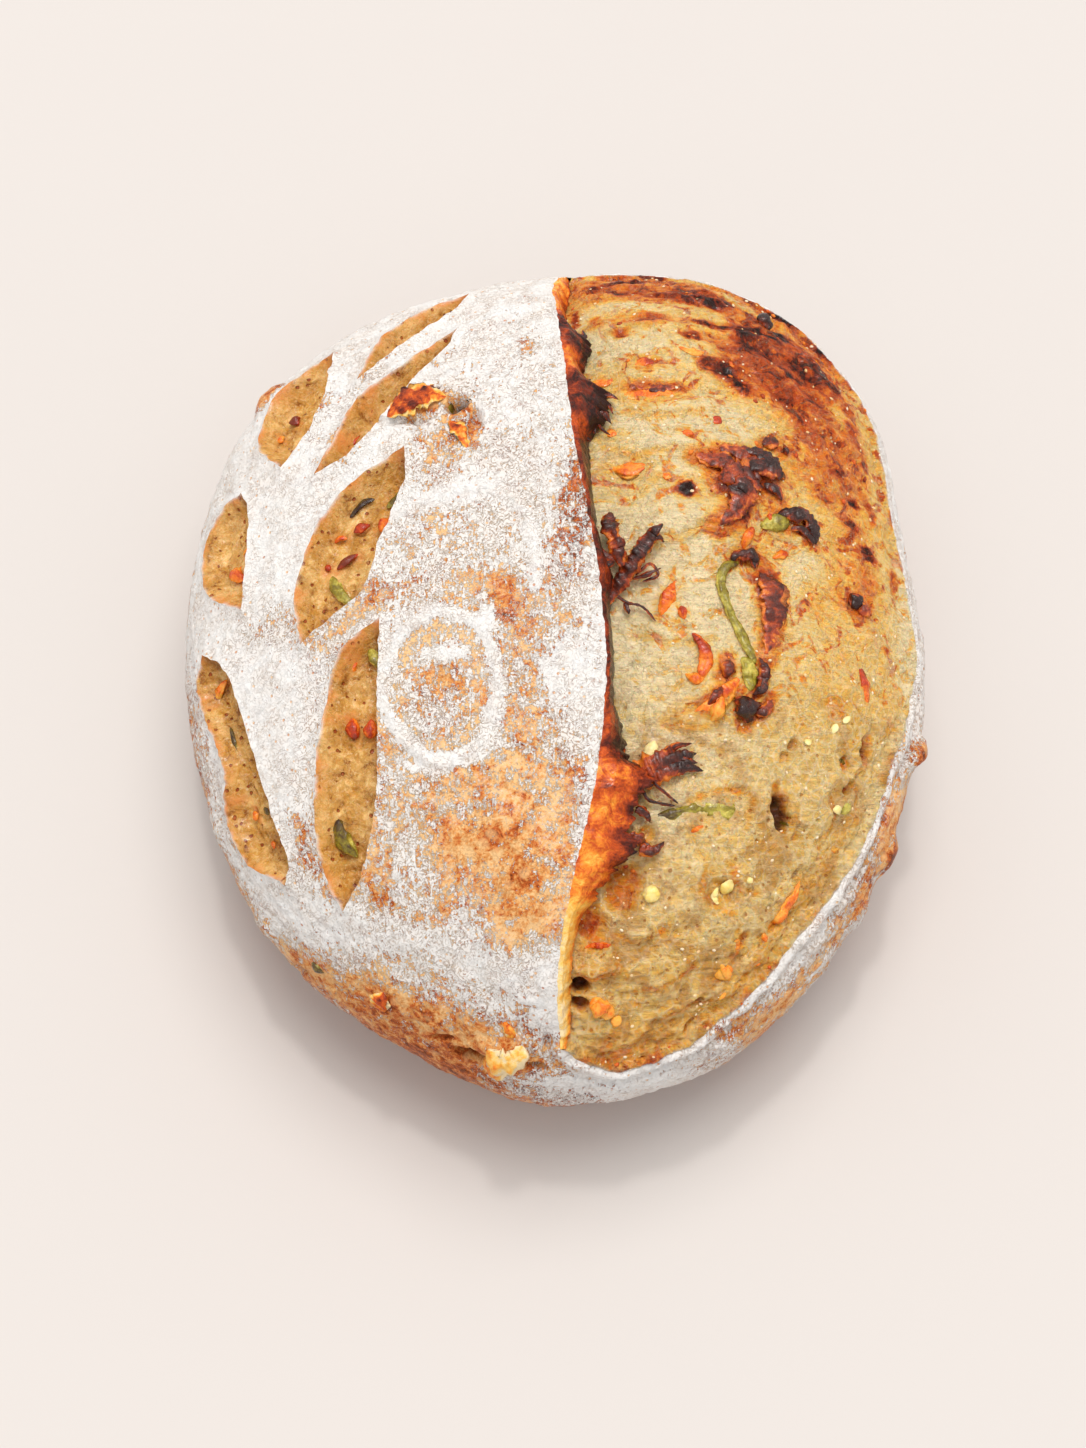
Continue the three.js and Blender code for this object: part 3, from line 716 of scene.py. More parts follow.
class Nodes:
    """Adds nodes to one node tree. An input is a plain value or another node's output."""

    def __init__(self, tree):
        self.tree = tree

    def add(self, kind, inputs=None, **settings):
        made = self.tree.nodes.new(kind)
        for name, value in settings.items():
            setattr(made, name, value)
        for key, value in (inputs or {}).items():
            if isinstance(value, bpy.types.NodeSocket):
                self.tree.links.new(value, made.inputs[key])
            else:
                made.inputs[key].default_value = value
        return made

    def maths(self, operation, a, b=0.0):
        return self.add("ShaderNodeMath", {0: a, 1: b}, operation=operation).outputs[0]

    def plus(self, a, b):
        return self.maths("ADD", a, b)

    def minus(self, a, b):
        return self.maths("SUBTRACT", a, b)

    def times(self, a, b):
        return self.maths("MULTIPLY", a, b)

    def larger(self, a, b):
        return self.maths("MAXIMUM", a, b)

    def falling(self, start, slope, value):
        """A share that falls from the start as the value rises, down to nothing."""
        return self.larger(self.minus(start, self.times(value, slope)), 0.0)

    def vector_maths(self, operation, a, b):
        return self.add("ShaderNodeVectorMath", {0: a, 1: b}, operation=operation).outputs[0]

    def scaled(self, vector, scale):
        return self.vector_maths("MULTIPLY", vector, scale)

    def noise(self, vector, scale, detail=3.0, distortion=0.0, roughness=0.55):
        inputs = {"Vector": vector, "Scale": scale, "Detail": detail, "Distortion": distortion,
                  "Roughness": roughness}
        return self.add("ShaderNodeTexNoise", inputs).outputs["Fac"]

    def warped(self, vector, scale, amount):
        """The vector, pushed about by noise of that scale, by up to about the amount."""
        inputs = {"Vector": vector, "Scale": scale, "Detail": 2.0}
        wave = self.add("ShaderNodeTexNoise", inputs).outputs["Color"]
        push = self.scaled(self.vector_maths("SUBTRACT", wave, (0.5, 0.5, 0.5)), (2 * amount,) * 3)
        return self.vector_maths("ADD", vector, push)

    def web(self, vector, scale, width):
        """1 on a web of strands and 0 inside its cells."""
        inputs = {"Vector": self.warped(vector, scale * 0.6, 0.6 / scale), "Scale": scale}
        away = self.add("ShaderNodeTexVoronoi", inputs, feature="DISTANCE_TO_EDGE").outputs["Distance"]
        return self.band(away, width, 0.0)

    def dots(self, vector, scale, size):
        """1 at the middle of scattered dots, 0 between them. The size is a share of their spacing."""
        away = self.add("ShaderNodeTexVoronoi", {"Vector": vector, "Scale": scale}).outputs["Distance"]
        return self.band(away, size, size * 0.5)

    def band(self, value, low, high):
        """0 at low and 1 at high, smoothly between."""
        inputs = {"Value": value, "From Min": low, "From Max": high}
        return self.add("ShaderNodeMapRange", inputs, interpolation_type="SMOOTHSTEP").outputs[0]

    def crossings(self, value, width):
        """1 along the wriggling lines where noise passes through a half."""
        return self.band(self.maths("ABSOLUTE", self.minus(value, 0.5)), width, 0.0)

    def pushed(self, value, *pushes):
        """The value plus each (noise, amount), where the noise is centred on a half."""
        for source, amount in pushes:
            value = self.plus(value, self.times(self.minus(source, 0.5), amount))
        return value

    def ramp(self, value, stops):
        made = self.add("ShaderNodeValToRGB", {"Fac": value})
        elements = made.color_ramp.elements
        while len(elements) < len(stops):
            elements.new(0.5)
        for element, (place, colour) in zip(elements, stops):
            element.position = place
            element.color = colour
        return made.outputs["Color"]

    def mix(self, share, a, b, blend="MIX"):
        made = self.add("ShaderNodeMix", {0: share, 6: a, 7: b}, data_type="RGBA", blend_type=blend)
        return made.outputs[2]

    def tinted(self, share, colour, tint):
        """The colour, multiplied by a tint as far as the share says."""
        return self.mix(share, colour, self.mix(1.0, colour, tint, "MULTIPLY"))

    def painted_relief_light(self, colour, height, middle, painted_shade_share, painted_highlight_share):
        """The colour, with painted shade below the middle height and a painted highlight above it."""
        sunk = self.times(self.band(height, middle - 0.06, middle - 0.46), painted_shade_share)
        proud = self.times(self.band(height, middle + 0.04, middle + 0.4), painted_highlight_share)
        return self.mix(proud, self.tinted(sunk, colour, PAINTED_SHADE), PALE_CRUMB)

    def attribute(self, name):
        return self.add("ShaderNodeAttribute", attribute_name=name).outputs["Fac"]

    def bump(self, height, distance, strength=1.0):
        inputs = {"Height": height, "Distance": distance, "Strength": strength}
        return self.add("ShaderNodeBump", inputs).outputs[0]

    def effect(self, group, inputs):
        return self.add("ShaderNodeGroup", inputs, node_tree=group).outputs


def new_group(name, inputs, outputs):
    """A shader node group with named sockets, its Nodes, its inputs, and a function for its outputs."""
    group = bpy.data.node_groups.new(name, "ShaderNodeTree")
    for socket, kind in inputs.items():
        group.interface.new_socket(socket, in_out="INPUT", socket_type="NodeSocket" + kind)
    for socket, kind in outputs.items():
        group.interface.new_socket(socket, in_out="OUTPUT", socket_type="NodeSocket" + kind)
    nodes = Nodes(group)
    given = nodes.add("NodeGroupInput").outputs
    result = nodes.add("NodeGroupOutput")

    def give(**values):
        for socket, value in values.items():
            group.links.new(value, result.inputs[socket])

    return group, nodes, given, give


def toasting_group():
    """Colour of dough by how baked it is, with an olive cast where asked."""
    inputs = {"Toast": "Float", "Olive": "Float"}
    group, nodes, given, give = new_group("toasting", inputs, {"Colour": "Color"})
    stops = [(0.0, PALE_CRUMB), (0.14, CREAM), (0.29, STRAW), (0.44, AMBER), (0.6, TOAST), (0.8, BROWN),
             (0.97, CHAR)]
    colour = nodes.ramp(given["Toast"], stops)
    give(Colour=nodes.tinted(given["Olive"], colour, OLIVE))
    return group


def flour_group():
    """Flour that lies in patches, thins to a fine mottle and leaves streaks, lines and specks bare."""
    group, nodes, given, give = new_group(
        "flour_dusting", {"Coverage": "Float", "Map": "Vector", "Place": "Vector"},
        {"Mask": "Float", "Lines": "Float", "Shade": "Float"})
    place, coverage = given["Place"], given["Coverage"]
    mottle = nodes.noise(place, 400, 10, 0.6, 0.74)
    fine = nodes.noise(place, 1700, 4, 0.5, 0.7)
    slow = nodes.noise(place, 90, 5, 1.0, 0.6)
    streaks = nodes.noise(nodes.scaled(given["Map"], (80.0, 18.0, 1.0)), 1.0, 5, 1.4)
    lines = nodes.crossings(nodes.noise(nodes.warped(place, 900, 0.0005), 480, 4, 2.0), 0.035)

    wander = nodes.pushed(0.0, (mottle, 2.8), (fine, 1.7), (slow, 1.7), (streaks, 1.5))
    thinness = nodes.minus(1.24, nodes.times(coverage, 0.74))
    level = nodes.plus(nodes.times(coverage, 1.08), nodes.times(wander, thinness))
    specks = nodes.times(nodes.dots(place, 620, 0.3), nodes.band(coverage, 0.1, 0.45))
    traced = nodes.times(nodes.band(slow, 0.54, 0.42), nodes.band(coverage, 0.05, 0.4))
    mask = nodes.larger(nodes.band(level, 0.4, 0.56), nodes.times(specks, 0.9))
    mask = nodes.larger(mask, nodes.times(lines, nodes.times(traced, 0.85)))

    thin = nodes.band(coverage, 1.0, 0.6)
    scratched = nodes.times(lines, nodes.band(slow, 0.42, 0.62))
    scratched = nodes.times(scratched, nodes.plus(0.3, nodes.times(thin, 0.4)))
    pitted = nodes.times(nodes.dots(nodes.scaled(place, (1.0, 1.0, 1.3)), 330, 0.17), 0.75)
    bare = nodes.larger(pitted, scratched)
    give(Mask=nodes.times(mask, nodes.minus(1.0, bare)), Lines=lines,
         Shade=nodes.pushed(0.3, (slow, 1.6), (mottle, 1.4), (fine, 1.0)))
    return group


def crumb_group():
    """Fibres along the map's first direction, a web of strands, mottling, pores and pale flecks."""
    group, nodes, given, give = new_group(
        "crumb_grain", {"Map": "Vector", "Place": "Vector"},
        {"Fibres": "Float", "Web": "Float", "Mottle": "Float", "Fine": "Float", "Pores": "Float",
         "Flecks": "Float", "Curls": "Float"})
    place = given["Place"]
    curls = nodes.crossings(nodes.noise(nodes.warped(place, 420, 0.0008), 330, 3, 1.6), 0.036)
    broken = nodes.band(nodes.noise(place, 620, 3, 1.0), 0.42, 0.58)
    drawn = nodes.scaled(given["Map"], (12.0, 66.0, 1.0))
    give(Fibres=nodes.noise(drawn, 1.0, 7, 2.6, 0.7), Web=nodes.web(place, 300, 0.16),
         Mottle=nodes.noise(place, 230, 6, 1.0, 0.64), Fine=nodes.noise(place, 900, 5, 1.2, 0.66),
         Pores=nodes.dots(nodes.warped(place, 500, 0.0006), 330, 0.2), Flecks=nodes.dots(place, 240, 0.11),
         Curls=nodes.times(curls, broken))
    return group


TOASTING = toasting_group()
FLOUR_DUSTING = flour_group()
CRUMB_GRAIN = crumb_group()


def new_material(name):
    """A new material with its Nodes, the object's own coordinates and its map coordinates."""
    material = bpy.data.materials.new(name)
    material.use_nodes = True
    material.node_tree.nodes.clear()
    nodes = Nodes(material.node_tree)
    place = nodes.add("ShaderNodeTexCoord")
    return material, nodes, place.outputs["Object"], place.outputs["UV"]


def finish_material(nodes, colour, roughness, normal, **numbers):
    inputs = {"Base Color": colour, "Roughness": roughness, "Normal": normal}
    inputs.update({key.replace("_", " "): value for key, value in numbers.items()})
    shader = nodes.add("ShaderNodeBsdfPrincipled", inputs)
    output = nodes.add("ShaderNodeOutputMaterial")
    nodes.tree.links.new(shader.outputs["BSDF"], output.inputs["Surface"])


def crust_material():
    material, nodes, place, uv = new_material("floured_crust")
    mottle = nodes.noise(place, 300, 8, 0.5, 0.66)
    slow = nodes.noise(place, 80, 3)
    fine = nodes.noise(place, 1300, 4, 0.5)
    flour = nodes.effect(FLOUR_DUSTING, {"Coverage": nodes.attribute("flour"), "Map": uv, "Place": place})
    toast = nodes.attribute("toast")
    rusty = nodes.band(nodes.noise(place, 520, 5, 2.0, 0.7), 0.57, 0.68)
    browned = nodes.pushed(toast, (mottle, 2.3), (slow, 0.9), (fine, 1.1))
    browned = nodes.plus(browned, nodes.times(rusty, 0.2))
    stops = [(0.08, BARE_CRUST), (0.38, TAN_CRUST), (0.64, RUSSET_CRUST), (1.0, DARK_CRUST)]
    crust = nodes.ramp(browned, stops)
    pale = nodes.dots(nodes.warped(place, 300, 0.001), 170, 0.34)
    crust = nodes.mix(nodes.times(pale, 0.5), crust, BARE_CRUST)
    dust = nodes.mix(flour["Shade"], FLOUR, FLOUR_SHADE)
    colour = nodes.mix(nodes.times(flour["Mask"], 0.96), crust, dust)
    # Painted shade at the bottoms of deep hollows, in the charred colour.
    colour = nodes.mix(nodes.attribute("hollow_shade"), colour, CHAR)
    height = nodes.pushed(flour["Mask"], (mottle, 2.0), (fine, 0.8), (slow, 3.0), (flour["Lines"], -0.3))
    roughness = nodes.plus(nodes.times(flour["Mask"], 0.45), 0.4)
    finish_material(nodes, colour, roughness, nodes.bump(height, 0.00022), Specular_IOR_Level=0.12)
    return material


def marked(nodes, colour, grain, pores, strands, curls):
    """The crumb's colour, with painted shade in its pores and paler on its strands, flecks and curls."""
    # Painted shade in the pores, in the toast colour.
    colour = nodes.mix(nodes.times(grain["Pores"], pores), colour, TOAST)
    for mark, share in (("Web", strands), ("Flecks", 0.6), ("Curls", curls)):
        colour = nodes.mix(nodes.times(grain[mark], share), colour, PALE_CRUMB)
    return colour


def browning(nodes, place, grain, base, fibre):
    """How baked the bloom is at each point, with the blisters and buttery blotches that it shows."""
    blisters = nodes.noise(place, 190, 5, 1.2, 0.58)
    blisters = nodes.band(nodes.pushed(nodes.times(base, 0.62), (blisters, 1.7)), 0.4, 0.56)
    butter = nodes.band(nodes.noise(place, 120, 5, 1.6, 0.6), 0.52, 0.63)
    combed = nodes.times(fibre, nodes.band(base, 0.6, 0.26))
    contrast = nodes.plus(nodes.times(base, 0.7), 0.5)
    toast = nodes.plus(base, nodes.times(blisters, 0.18))
    toast = nodes.plus(toast, nodes.times(butter, nodes.plus(0.05, nodes.times(combed, 0.36))))
    toast = nodes.minus(toast, nodes.times(combed, 0.08))
    toast = nodes.pushed(toast, (grain["Fibres"], nodes.times(combed, 0.62)), (grain["Mottle"], contrast),
                         (grain["Fine"], 0.28))
    return toast, blisters, butter


def bloom_material():
    material, nodes, place, uv = new_material("bloom_crumb")
    grain = nodes.effect(CRUMB_GRAIN, {"Map": uv, "Place": place})
    base = nodes.attribute("toast")
    fibre = nodes.attribute("fibre")
    toast, blisters, butter = browning(nodes, place, grain, base, fibre)
    colour = nodes.effect(TOASTING, {"Toast": toast, "Olive": nodes.attribute("olive")})["Colour"]
    strands, curls = nodes.falling(0.4, 0.6, base), nodes.falling(0.62, 0.7, base)
    colour = marked(nodes, colour, grain, 0.26, strands, curls)
    height = nodes.pushed(grain["Fine"], (grain["Fibres"], 1.6), (grain["Mottle"], 1.6),
                          (grain["Pores"], -0.6), (grain["Web"], 0.3), (grain["Curls"], 0.7))
    # Painted shade in the bump's hollows, less towards the back, and a painted highlight on its raised parts.
    painted_shade_share = nodes.falling(0.8, 1.1, fibre)
    painted_highlight_share = nodes.falling(0.6, 1.5, base)
    colour = nodes.painted_relief_light(colour, height, BLOOM_MIDDLE, painted_shade_share, painted_highlight_share)
    # Painted shade in the low parts of a slow swell of the bump, mostly at the front of the bloom.
    hazy = nodes.noise(place, 95, 4, 1.0)
    shaded = nodes.times(nodes.band(hazy, 0.52, 0.38), nodes.falling(0.7, 1.1, fibre))
    colour = nodes.tinted(shaded, colour, PAINTED_SHADE)
    colour = nodes.mix(nodes.attribute("flour"), colour, FLOUR)
    # Painted shade at the bottoms of deep hollows, in the charred colour.
    colour = nodes.mix(nodes.attribute("hollow_shade"), colour, CHAR)
    height = nodes.pushed(height, (blisters, 0.9), (butter, -0.5), (hazy, 1.5))
    roughness = nodes.pushed(0.4, (grain["Mottle"], 0.8), (blisters, -0.16), (butter, -0.14))
    finish_material(nodes, colour, roughness, nodes.bump(height, 0.0006), Specular_IOR_Level=0.2,
                    Coat_Weight=0.15, Coat_Roughness=0.16, Subsurface_Weight=0.15, Subsurface_Scale=0.002)
    return material


def leaf_material():
    material, nodes, place, uv = new_material("leaf_crumb")
    grain = nodes.effect(CRUMB_GRAIN, {"Map": uv, "Place": place})
    slow = nodes.noise(place, 130, 5, 0.8)
    shade = nodes.pushed(0.52, (slow, 1.5), (grain["Mottle"], 1.5), (grain["Fine"], 0.9))
    crumb = nodes.ramp(shade, [(0.0, LEAF_SHADE), (0.55, LEAF_CRUMB), (1.0, CREAM)])
    crumb = nodes.tinted(nodes.times(nodes.band(nodes.noise(place, 60, 3), 0.6, 0.4), 0.7), crumb, OLIVE)
    crumb = marked(nodes, crumb, grain, 0.6, 0.08, 0.4)
    height = nodes.pushed(grain["Fine"], (grain["Mottle"], 1.6), (grain["Pores"], -1.2), (slow, 1.0))
    # Painted shade in the bump's hollows and a painted highlight on its raised parts.
    crumb = nodes.painted_relief_light(crumb, height, LEAF_MIDDLE, 0.9, 0.25)
    edge = nodes.pushed(nodes.attribute("toast"), (grain["Mottle"], 1.6), (slow, 1.4))
    colour = nodes.mix(nodes.times(nodes.band(edge, 0.1, 1.1), 0.85), crumb, LEAF_EDGE)
    # Painted shade along the inner side of each cut.
    colour = nodes.mix(nodes.attribute("shade"), colour, BROWN)
    colour = nodes.mix(nodes.attribute("flour"), colour, FLOUR)
    finish_material(nodes, colour, nodes.pushed(0.36, (grain["Mottle"], 0.7)), nodes.bump(height, 0.0005),
                    Specular_IOR_Level=0.2, Coat_Weight=0.25, Coat_Roughness=0.16, Subsurface_Weight=0.2,
                    Subsurface_Scale=0.002)
    return material


def torn_material():
    material, nodes, place, _ = new_material("torn_crust")
    mottle = nodes.noise(place, 230, 8, 1.2, 0.66)
    fine = nodes.noise(place, 900, 5, 1.2)
    toast = nodes.pushed(nodes.attribute("toast"), (mottle, 1.0), (fine, 0.36))
    colour = nodes.effect(TOASTING, {"Toast": toast, "Olive": 0.0})["Colour"]
    height = nodes.pushed(mottle, (fine, 0.6), (nodes.web(place, 240, 0.3), 0.3))
    finish_material(nodes, colour, nodes.pushed(0.36, (mottle, 0.8)), nodes.bump(height, 0.0007),
                    Specular_IOR_Level=0.16, Coat_Weight=0.2, Coat_Roughness=0.14)
    return material


def morsel_material(name, stops, roughness, coat=0.0, scale=420):
    """A small baked-in bit: its colours run from one end of its browning to the other."""
    material, nodes, place, _ = new_material(name)
    mottle = nodes.noise(place, scale, 6, 0.9, 0.64)
    fine = nodes.noise(place, 1500, 4)
    slow = nodes.noise(place, 150, 2)
    browned = nodes.pushed(nodes.attribute("toast"), (mottle, 1.2), (slow, 0.9), (fine, 0.4))
    height = nodes.pushed(mottle, (fine, 0.5))
    finish_material(nodes, nodes.ramp(browned, stops), nodes.pushed(roughness, (mottle, 0.4)),
                    nodes.bump(height, 0.0005, 0.9), Specular_IOR_Level=0.35, Coat_Weight=coat,
                    Coat_Roughness=0.12, Subsurface_Weight=0.12, Subsurface_Scale=0.001)
    return material


CRUST = crust_material()
BLOOM = bloom_material()
LEAF = leaf_material()
TORN = torn_material()
CRISP = morsel_material("charred_crisp", [(0.1, linear(232, 126, 44)), (0.36, linear(172, 64, 22)),
                                         (0.66, linear(96, 34, 16)), (1.0, CHAR)], 0.26, 0.3)
PEPPER = morsel_material("green_pepper", [(0.0, linear(222, 204, 96)), (0.32, linear(150, 134, 34)),
                                          (0.66, linear(92, 70, 18)), (1.0, CHAR)], 0.22, 0.4)
CHEESE = morsel_material("melted_cheese", [(0.0, linear(253, 180, 70)), (0.3, linear(248, 128, 24)),
                                           (0.62, linear(196, 58, 12)), (1.0, BROWN)], 0.22, 0.3)
SEED = morsel_material("pepper_seed", [(0.0, linear(255, 236, 170)), (0.6, linear(246, 212, 104)),
                                       (1.0, linear(210, 150, 66))], 0.3, 0.2)
BEAD = morsel_material("crumb_bead", [(0.0, linear(255, 236, 204)), (1.0, linear(240, 190, 120))], 0.3, 0.2)
FLECK = morsel_material("toasted_fleck", [(0.0, AMBER), (0.5, TOAST), (1.0, BROWN)], 0.45)
GRAIN = morsel_material("flour_grain", [(0.0, FLOUR), (1.0, FLOUR_SHADE)], 0.9)


# ---------------------------------------------------------------- Crust, bloom and leaf cuts


def hollow_shade_share(p, q, places):
    """Painted shade: how dark the bottoms of the deep hollows are."""
    return 0.85 * smooth_band(hollows(p, q, places), 2.2, 5.0)


def in_any(loops, p, q):
    return np.any([inside(loop, p, q) for loop in loops], axis=0)


def crust_points():
    """Points for the crust: dense on the dome, coarser down the sides, and few on the flat base."""
    rings = [(0, SIDE_START, CRUST_SPACING), (SIDE_START, BASE_START, SIDE_SPACING),
             (BASE_START, BASE_END, BASE_SPACING)]
    parts = []
    for seed, (nearest, furthest, spacing) in enumerate(rings):
        reach = furthest * max(OUTLINE_RADII)
        p, q = staggered_points((-reach, -reach), (reach, reach), spacing, seed)
        down = angle_down(p, q)
        kept = (down >= nearest) & (down < furthest)
        parts.append(np.stack([p[kept], q[kept]]))
    return np.hstack(parts)


def with_closed_base(points, triangles):
    """Adds a fan of triangles over the small hole in the middle of the flat base."""
    edges = np.vstack([triangles[:, [0, 1]], triangles[:, [1, 2]], triangles[:, [2, 0]]])
    _, first, count = np.unique(np.sort(edges, axis=1), axis=0, return_index=True, return_counts=True)
    single = edges[first[count == 1]]
    rim = single[(angle_down(*points[single].reshape(-1, 2).T) > QUARTER + 1).reshape(-1, 2).all(axis=1)]
    middle = len(points)
    fan = np.stack([rim[:, 1], rim[:, 0], np.full(len(rim), middle)], axis=1)
    base_middle = (math.pi * OUTLINE_RADII[0], 0)
    return np.vstack([points, base_middle]), np.vstack([triangles, fan])


def ring_marks(p, q):
    """Shares of the floured rings, and of the thinly floured band inside the closed one."""
    ridge = np.zeros(p.shape)
    for ring in RING_LINES:
        ridge += (1 - ridge) * 0.9 * bell(distance_to(ring, p, q), 1.6)
    closed = RING_LINES[0]
    return ridge, bell(distance_to(closed, p, q) - 4.2, 1.7) * inside(closed, p, q)


def crust_flour(p, q):
    """How much flour lies on the crust: its patches, its rim and its rings, and less of it low down."""
    to_rim = to_rim_line(p, q)
    rim = bell(to_rim - 1.8, 2.2) * smooth_band(noise(p, q, 12, 12), -0.7, 0.4)
    ridge, band = ring_marks(p, q)
    flour = painted(p, q, 0.9, CRUST_FLOUR)
    flour += (0.8 - flour) * 0.85 * rim
    flour += (1.0 - flour) * ridge
    flour += (0.35 - flour) * 0.9 * band
    return flour * (0.15 + 0.85 * smooth_band(angle_down(p, q), 1.98, 1.6))


def crust_browning(p, q):
    """How browned the crust is: its patches, more of it low down, and pale inside the closed ring."""
    toast = painted(p, q, 0.28, CRUST_TOAST)
    toast += (0.6 - toast) * smooth_band(angle_down(p, q), 1.45, 1.9)
    return toast + (0.02 - toast) * ring_marks(p, q)[1]


def build_crust():
    p, q = crust_points()
    loops = [BLOOM_LOOP] + LEAF_LOOPS
    outside = ~in_any(loops, p, q)
    points, triangles = joined(loops, p[outside], q[outside], CRUST_CLEARANCE)
    points, triangles = of_region(points, triangles, lambda mp, mq: ~in_any(loops, mp, mq))
    points, triangles = with_closed_base(points, triangles)
    p, q = points.T
    attributes = {
        "flour": crust_flour(p, q), "toast": crust_browning(p, q), "hollow_shade": hollow_shade_share(p, q, CRUST_HOLLOWS),
    }
    return make_piece("crust", raised(p, q, crust_lift(p, q)), triangles, CRUST, attributes, points)


def filled(loop, spacing, clear, seed):
    """Points and triangles that fill a closed loop of the map."""
    p, q = staggered_points(loop.min(axis=0), loop.max(axis=0), spacing, seed)
    within = inside(loop, p, q)
    points, triangles = joined([loop], p[within], q[within], clear)
    return of_region(points, triangles, lambda mp, mq: inside(loop, mp, mq))


def build_bloom():
    points, triangles = filled(BLOOM_LOOP, BLOOM_SPACING, BLOOM_CLEARANCE, 4)
    p, q = points.T
    to_rim = to_rim_line(p, q)
    toast = painted(p, q, 0.05, BLOOM_TOAST)
    hollow = hollows(p, q, BLOOM_HOLLOWS)
    # Painted shade in the bloom's hollows, as more browning the deeper they are.
    toast += (0.5 - toast) * smooth_band(hollow, 0.8, 3.0) * 0.7
    toast += (0.3 - toast) * 0.55 * bit_shares(p, q, CHEESES, 1.6) * smooth_band(toast, 0.4, 0.25)
    toast += (0.52 - toast) * 0.8 * bit_shares(p, q, CRISPS, 1.8) * smooth_band(toast, 0.7, 0.5)
    toast += 0.3 * smooth_band(to_rim, 5.0, 1.0) * smooth_band(noise(p, q, 8, 14), -0.1, 0.8)
    # Painted shadow along the foot of each torn layer.
    toast += (0.42 - toast) * 0.6 * ledge_shade(p, q) * smooth_band(toast, 0.5, 0.4)
    flour = 0.7 * smooth_band(to_rim, 1.6, 0.0) * smooth_band(noise(p, q, 9, 13), -0.5, 0.4)
    attributes = {
        "toast": toast, "olive": painted(p, q, 0.03, BLOOM_OLIVE), "fibre": fibre_share(q),
        "hollow_shade": hollow_shade_share(p, q, BLOOM_HOLLOWS), "flour": flour,
    }
    return make_piece("bloom", raised(p, q, bloom_lift(p, q)), triangles, BLOOM, attributes, points)


def leaf_attributes(p, q, outer, inner):
    """A leaf cut's browning, flour and painted shade. Both its browned border and its painted shade wander in
    width.
    """
    to_outer, to_inner = (distance_to(side[::2], p, q) for side in (outer, inner))
    wander = noise(p, q, 7, 33)
    border = (0.8 + 0.6 * wander) * np.exp(-to_outer / (1.5 + 0.7 * wander))
    blotches = 0.45 * smooth_band(noise(p, q, 8, 31), 0.35, 1.0)
    return {
        "toast": border + blotches + 0.5 * bit_shares(p, q, LEAF_CHEESES, 1.2),
        "flour": 0.6 * smooth_band(to_outer, 0.9, 0.0) * smooth_band(noise(p, q, 5, 32), -0.4, 0.3),
        # Painted shade along the inner side, under its overhang.
        "shade": (0.34 + 0.2 * wander) * smooth_band(to_inner, 4.5, 0.2),
    }


def build_leaf_cuts():
    """One piece from the floors of all the leaf cuts."""
    positions, faces, maps, looks = [], [], [], []
    first = 0
    for number, (loop, (outer, inner)) in enumerate(zip(LEAF_LOOPS, LEAF_SIDES)):
        points, triangles = filled(loop, LEAF_SPACING, LEAF_CLEARANCE, 20 + number)
        p, q = points.T
        positions.append(raised(p, q, leaf_lift(p, q, outer, inner)))
        faces.append(triangles + first)
        maps.append(points)
        looks.append(leaf_attributes(p, q, outer, inner))
        first += len(points)
    attributes = {key: np.concatenate([look[key] for look in looks]) for key in looks[0]}
    return make_piece("leaf_cuts", np.vstack(positions), np.vstack(faces), LEAF, attributes, np.vstack(maps))


# ---------------------------------------------------------------- The torn face of the ear

# Along the ear, from the back: (q, how far the torn face stands out, its gap above the bloom, its browning).
TORN_FACE = [
    (169, 1, 0, 0.5), (150, 5, 0.5, 0.45), (130, 4, 0.5, 0.45), (114, 3, 0.5, 0.5), (107, 5, 2.0, 0.96),
    (100, 9, 2.5, 0.98), (92, 8, 2.0, 0.84), (87, 5, 1.0, 0.66), (80, 7, 1.5, 0.68), (74, 12, 2.5, 0.96),
    (68, 11, 2.5, 1.0), (62, 9, 1.5, 0.94), (58, 5, 0.5, 0.8), (46, 4, 0.5, 0.84), (36, 3, 0.5, 0.86),
    (22, 3, 0.5, 0.86), (12, 5, 1.0, 0.84), (4, 3.2, 0.5, 0.88), (-20, 3, 0.5, 0.9), (-27, 5.5, 1.0, 0.9),
    (-34, 7, 1.5, 0.94), (-38, 8, 2.5, 0.8), (-42, 15, 3.5, 0.7), (-48, 14, 4.5, 0.66), (-54, 12, 5.0, 0.64),
    (-60, 13, 5.0, 0.66), (-64, 16, 4.5, 0.68), (-70, 12, 4.0, 0.62), (-78, 8, 3.0, 0.5), (-86, 5, 2.0, 0.34),
    (-96, 4, 1.5, 0.2), (-118, 4, 1.0, 0.16), (-130, 3, 0.5, 0.2), (-137, 1, 0, 0.3),
]
TORN_STEPS = 44


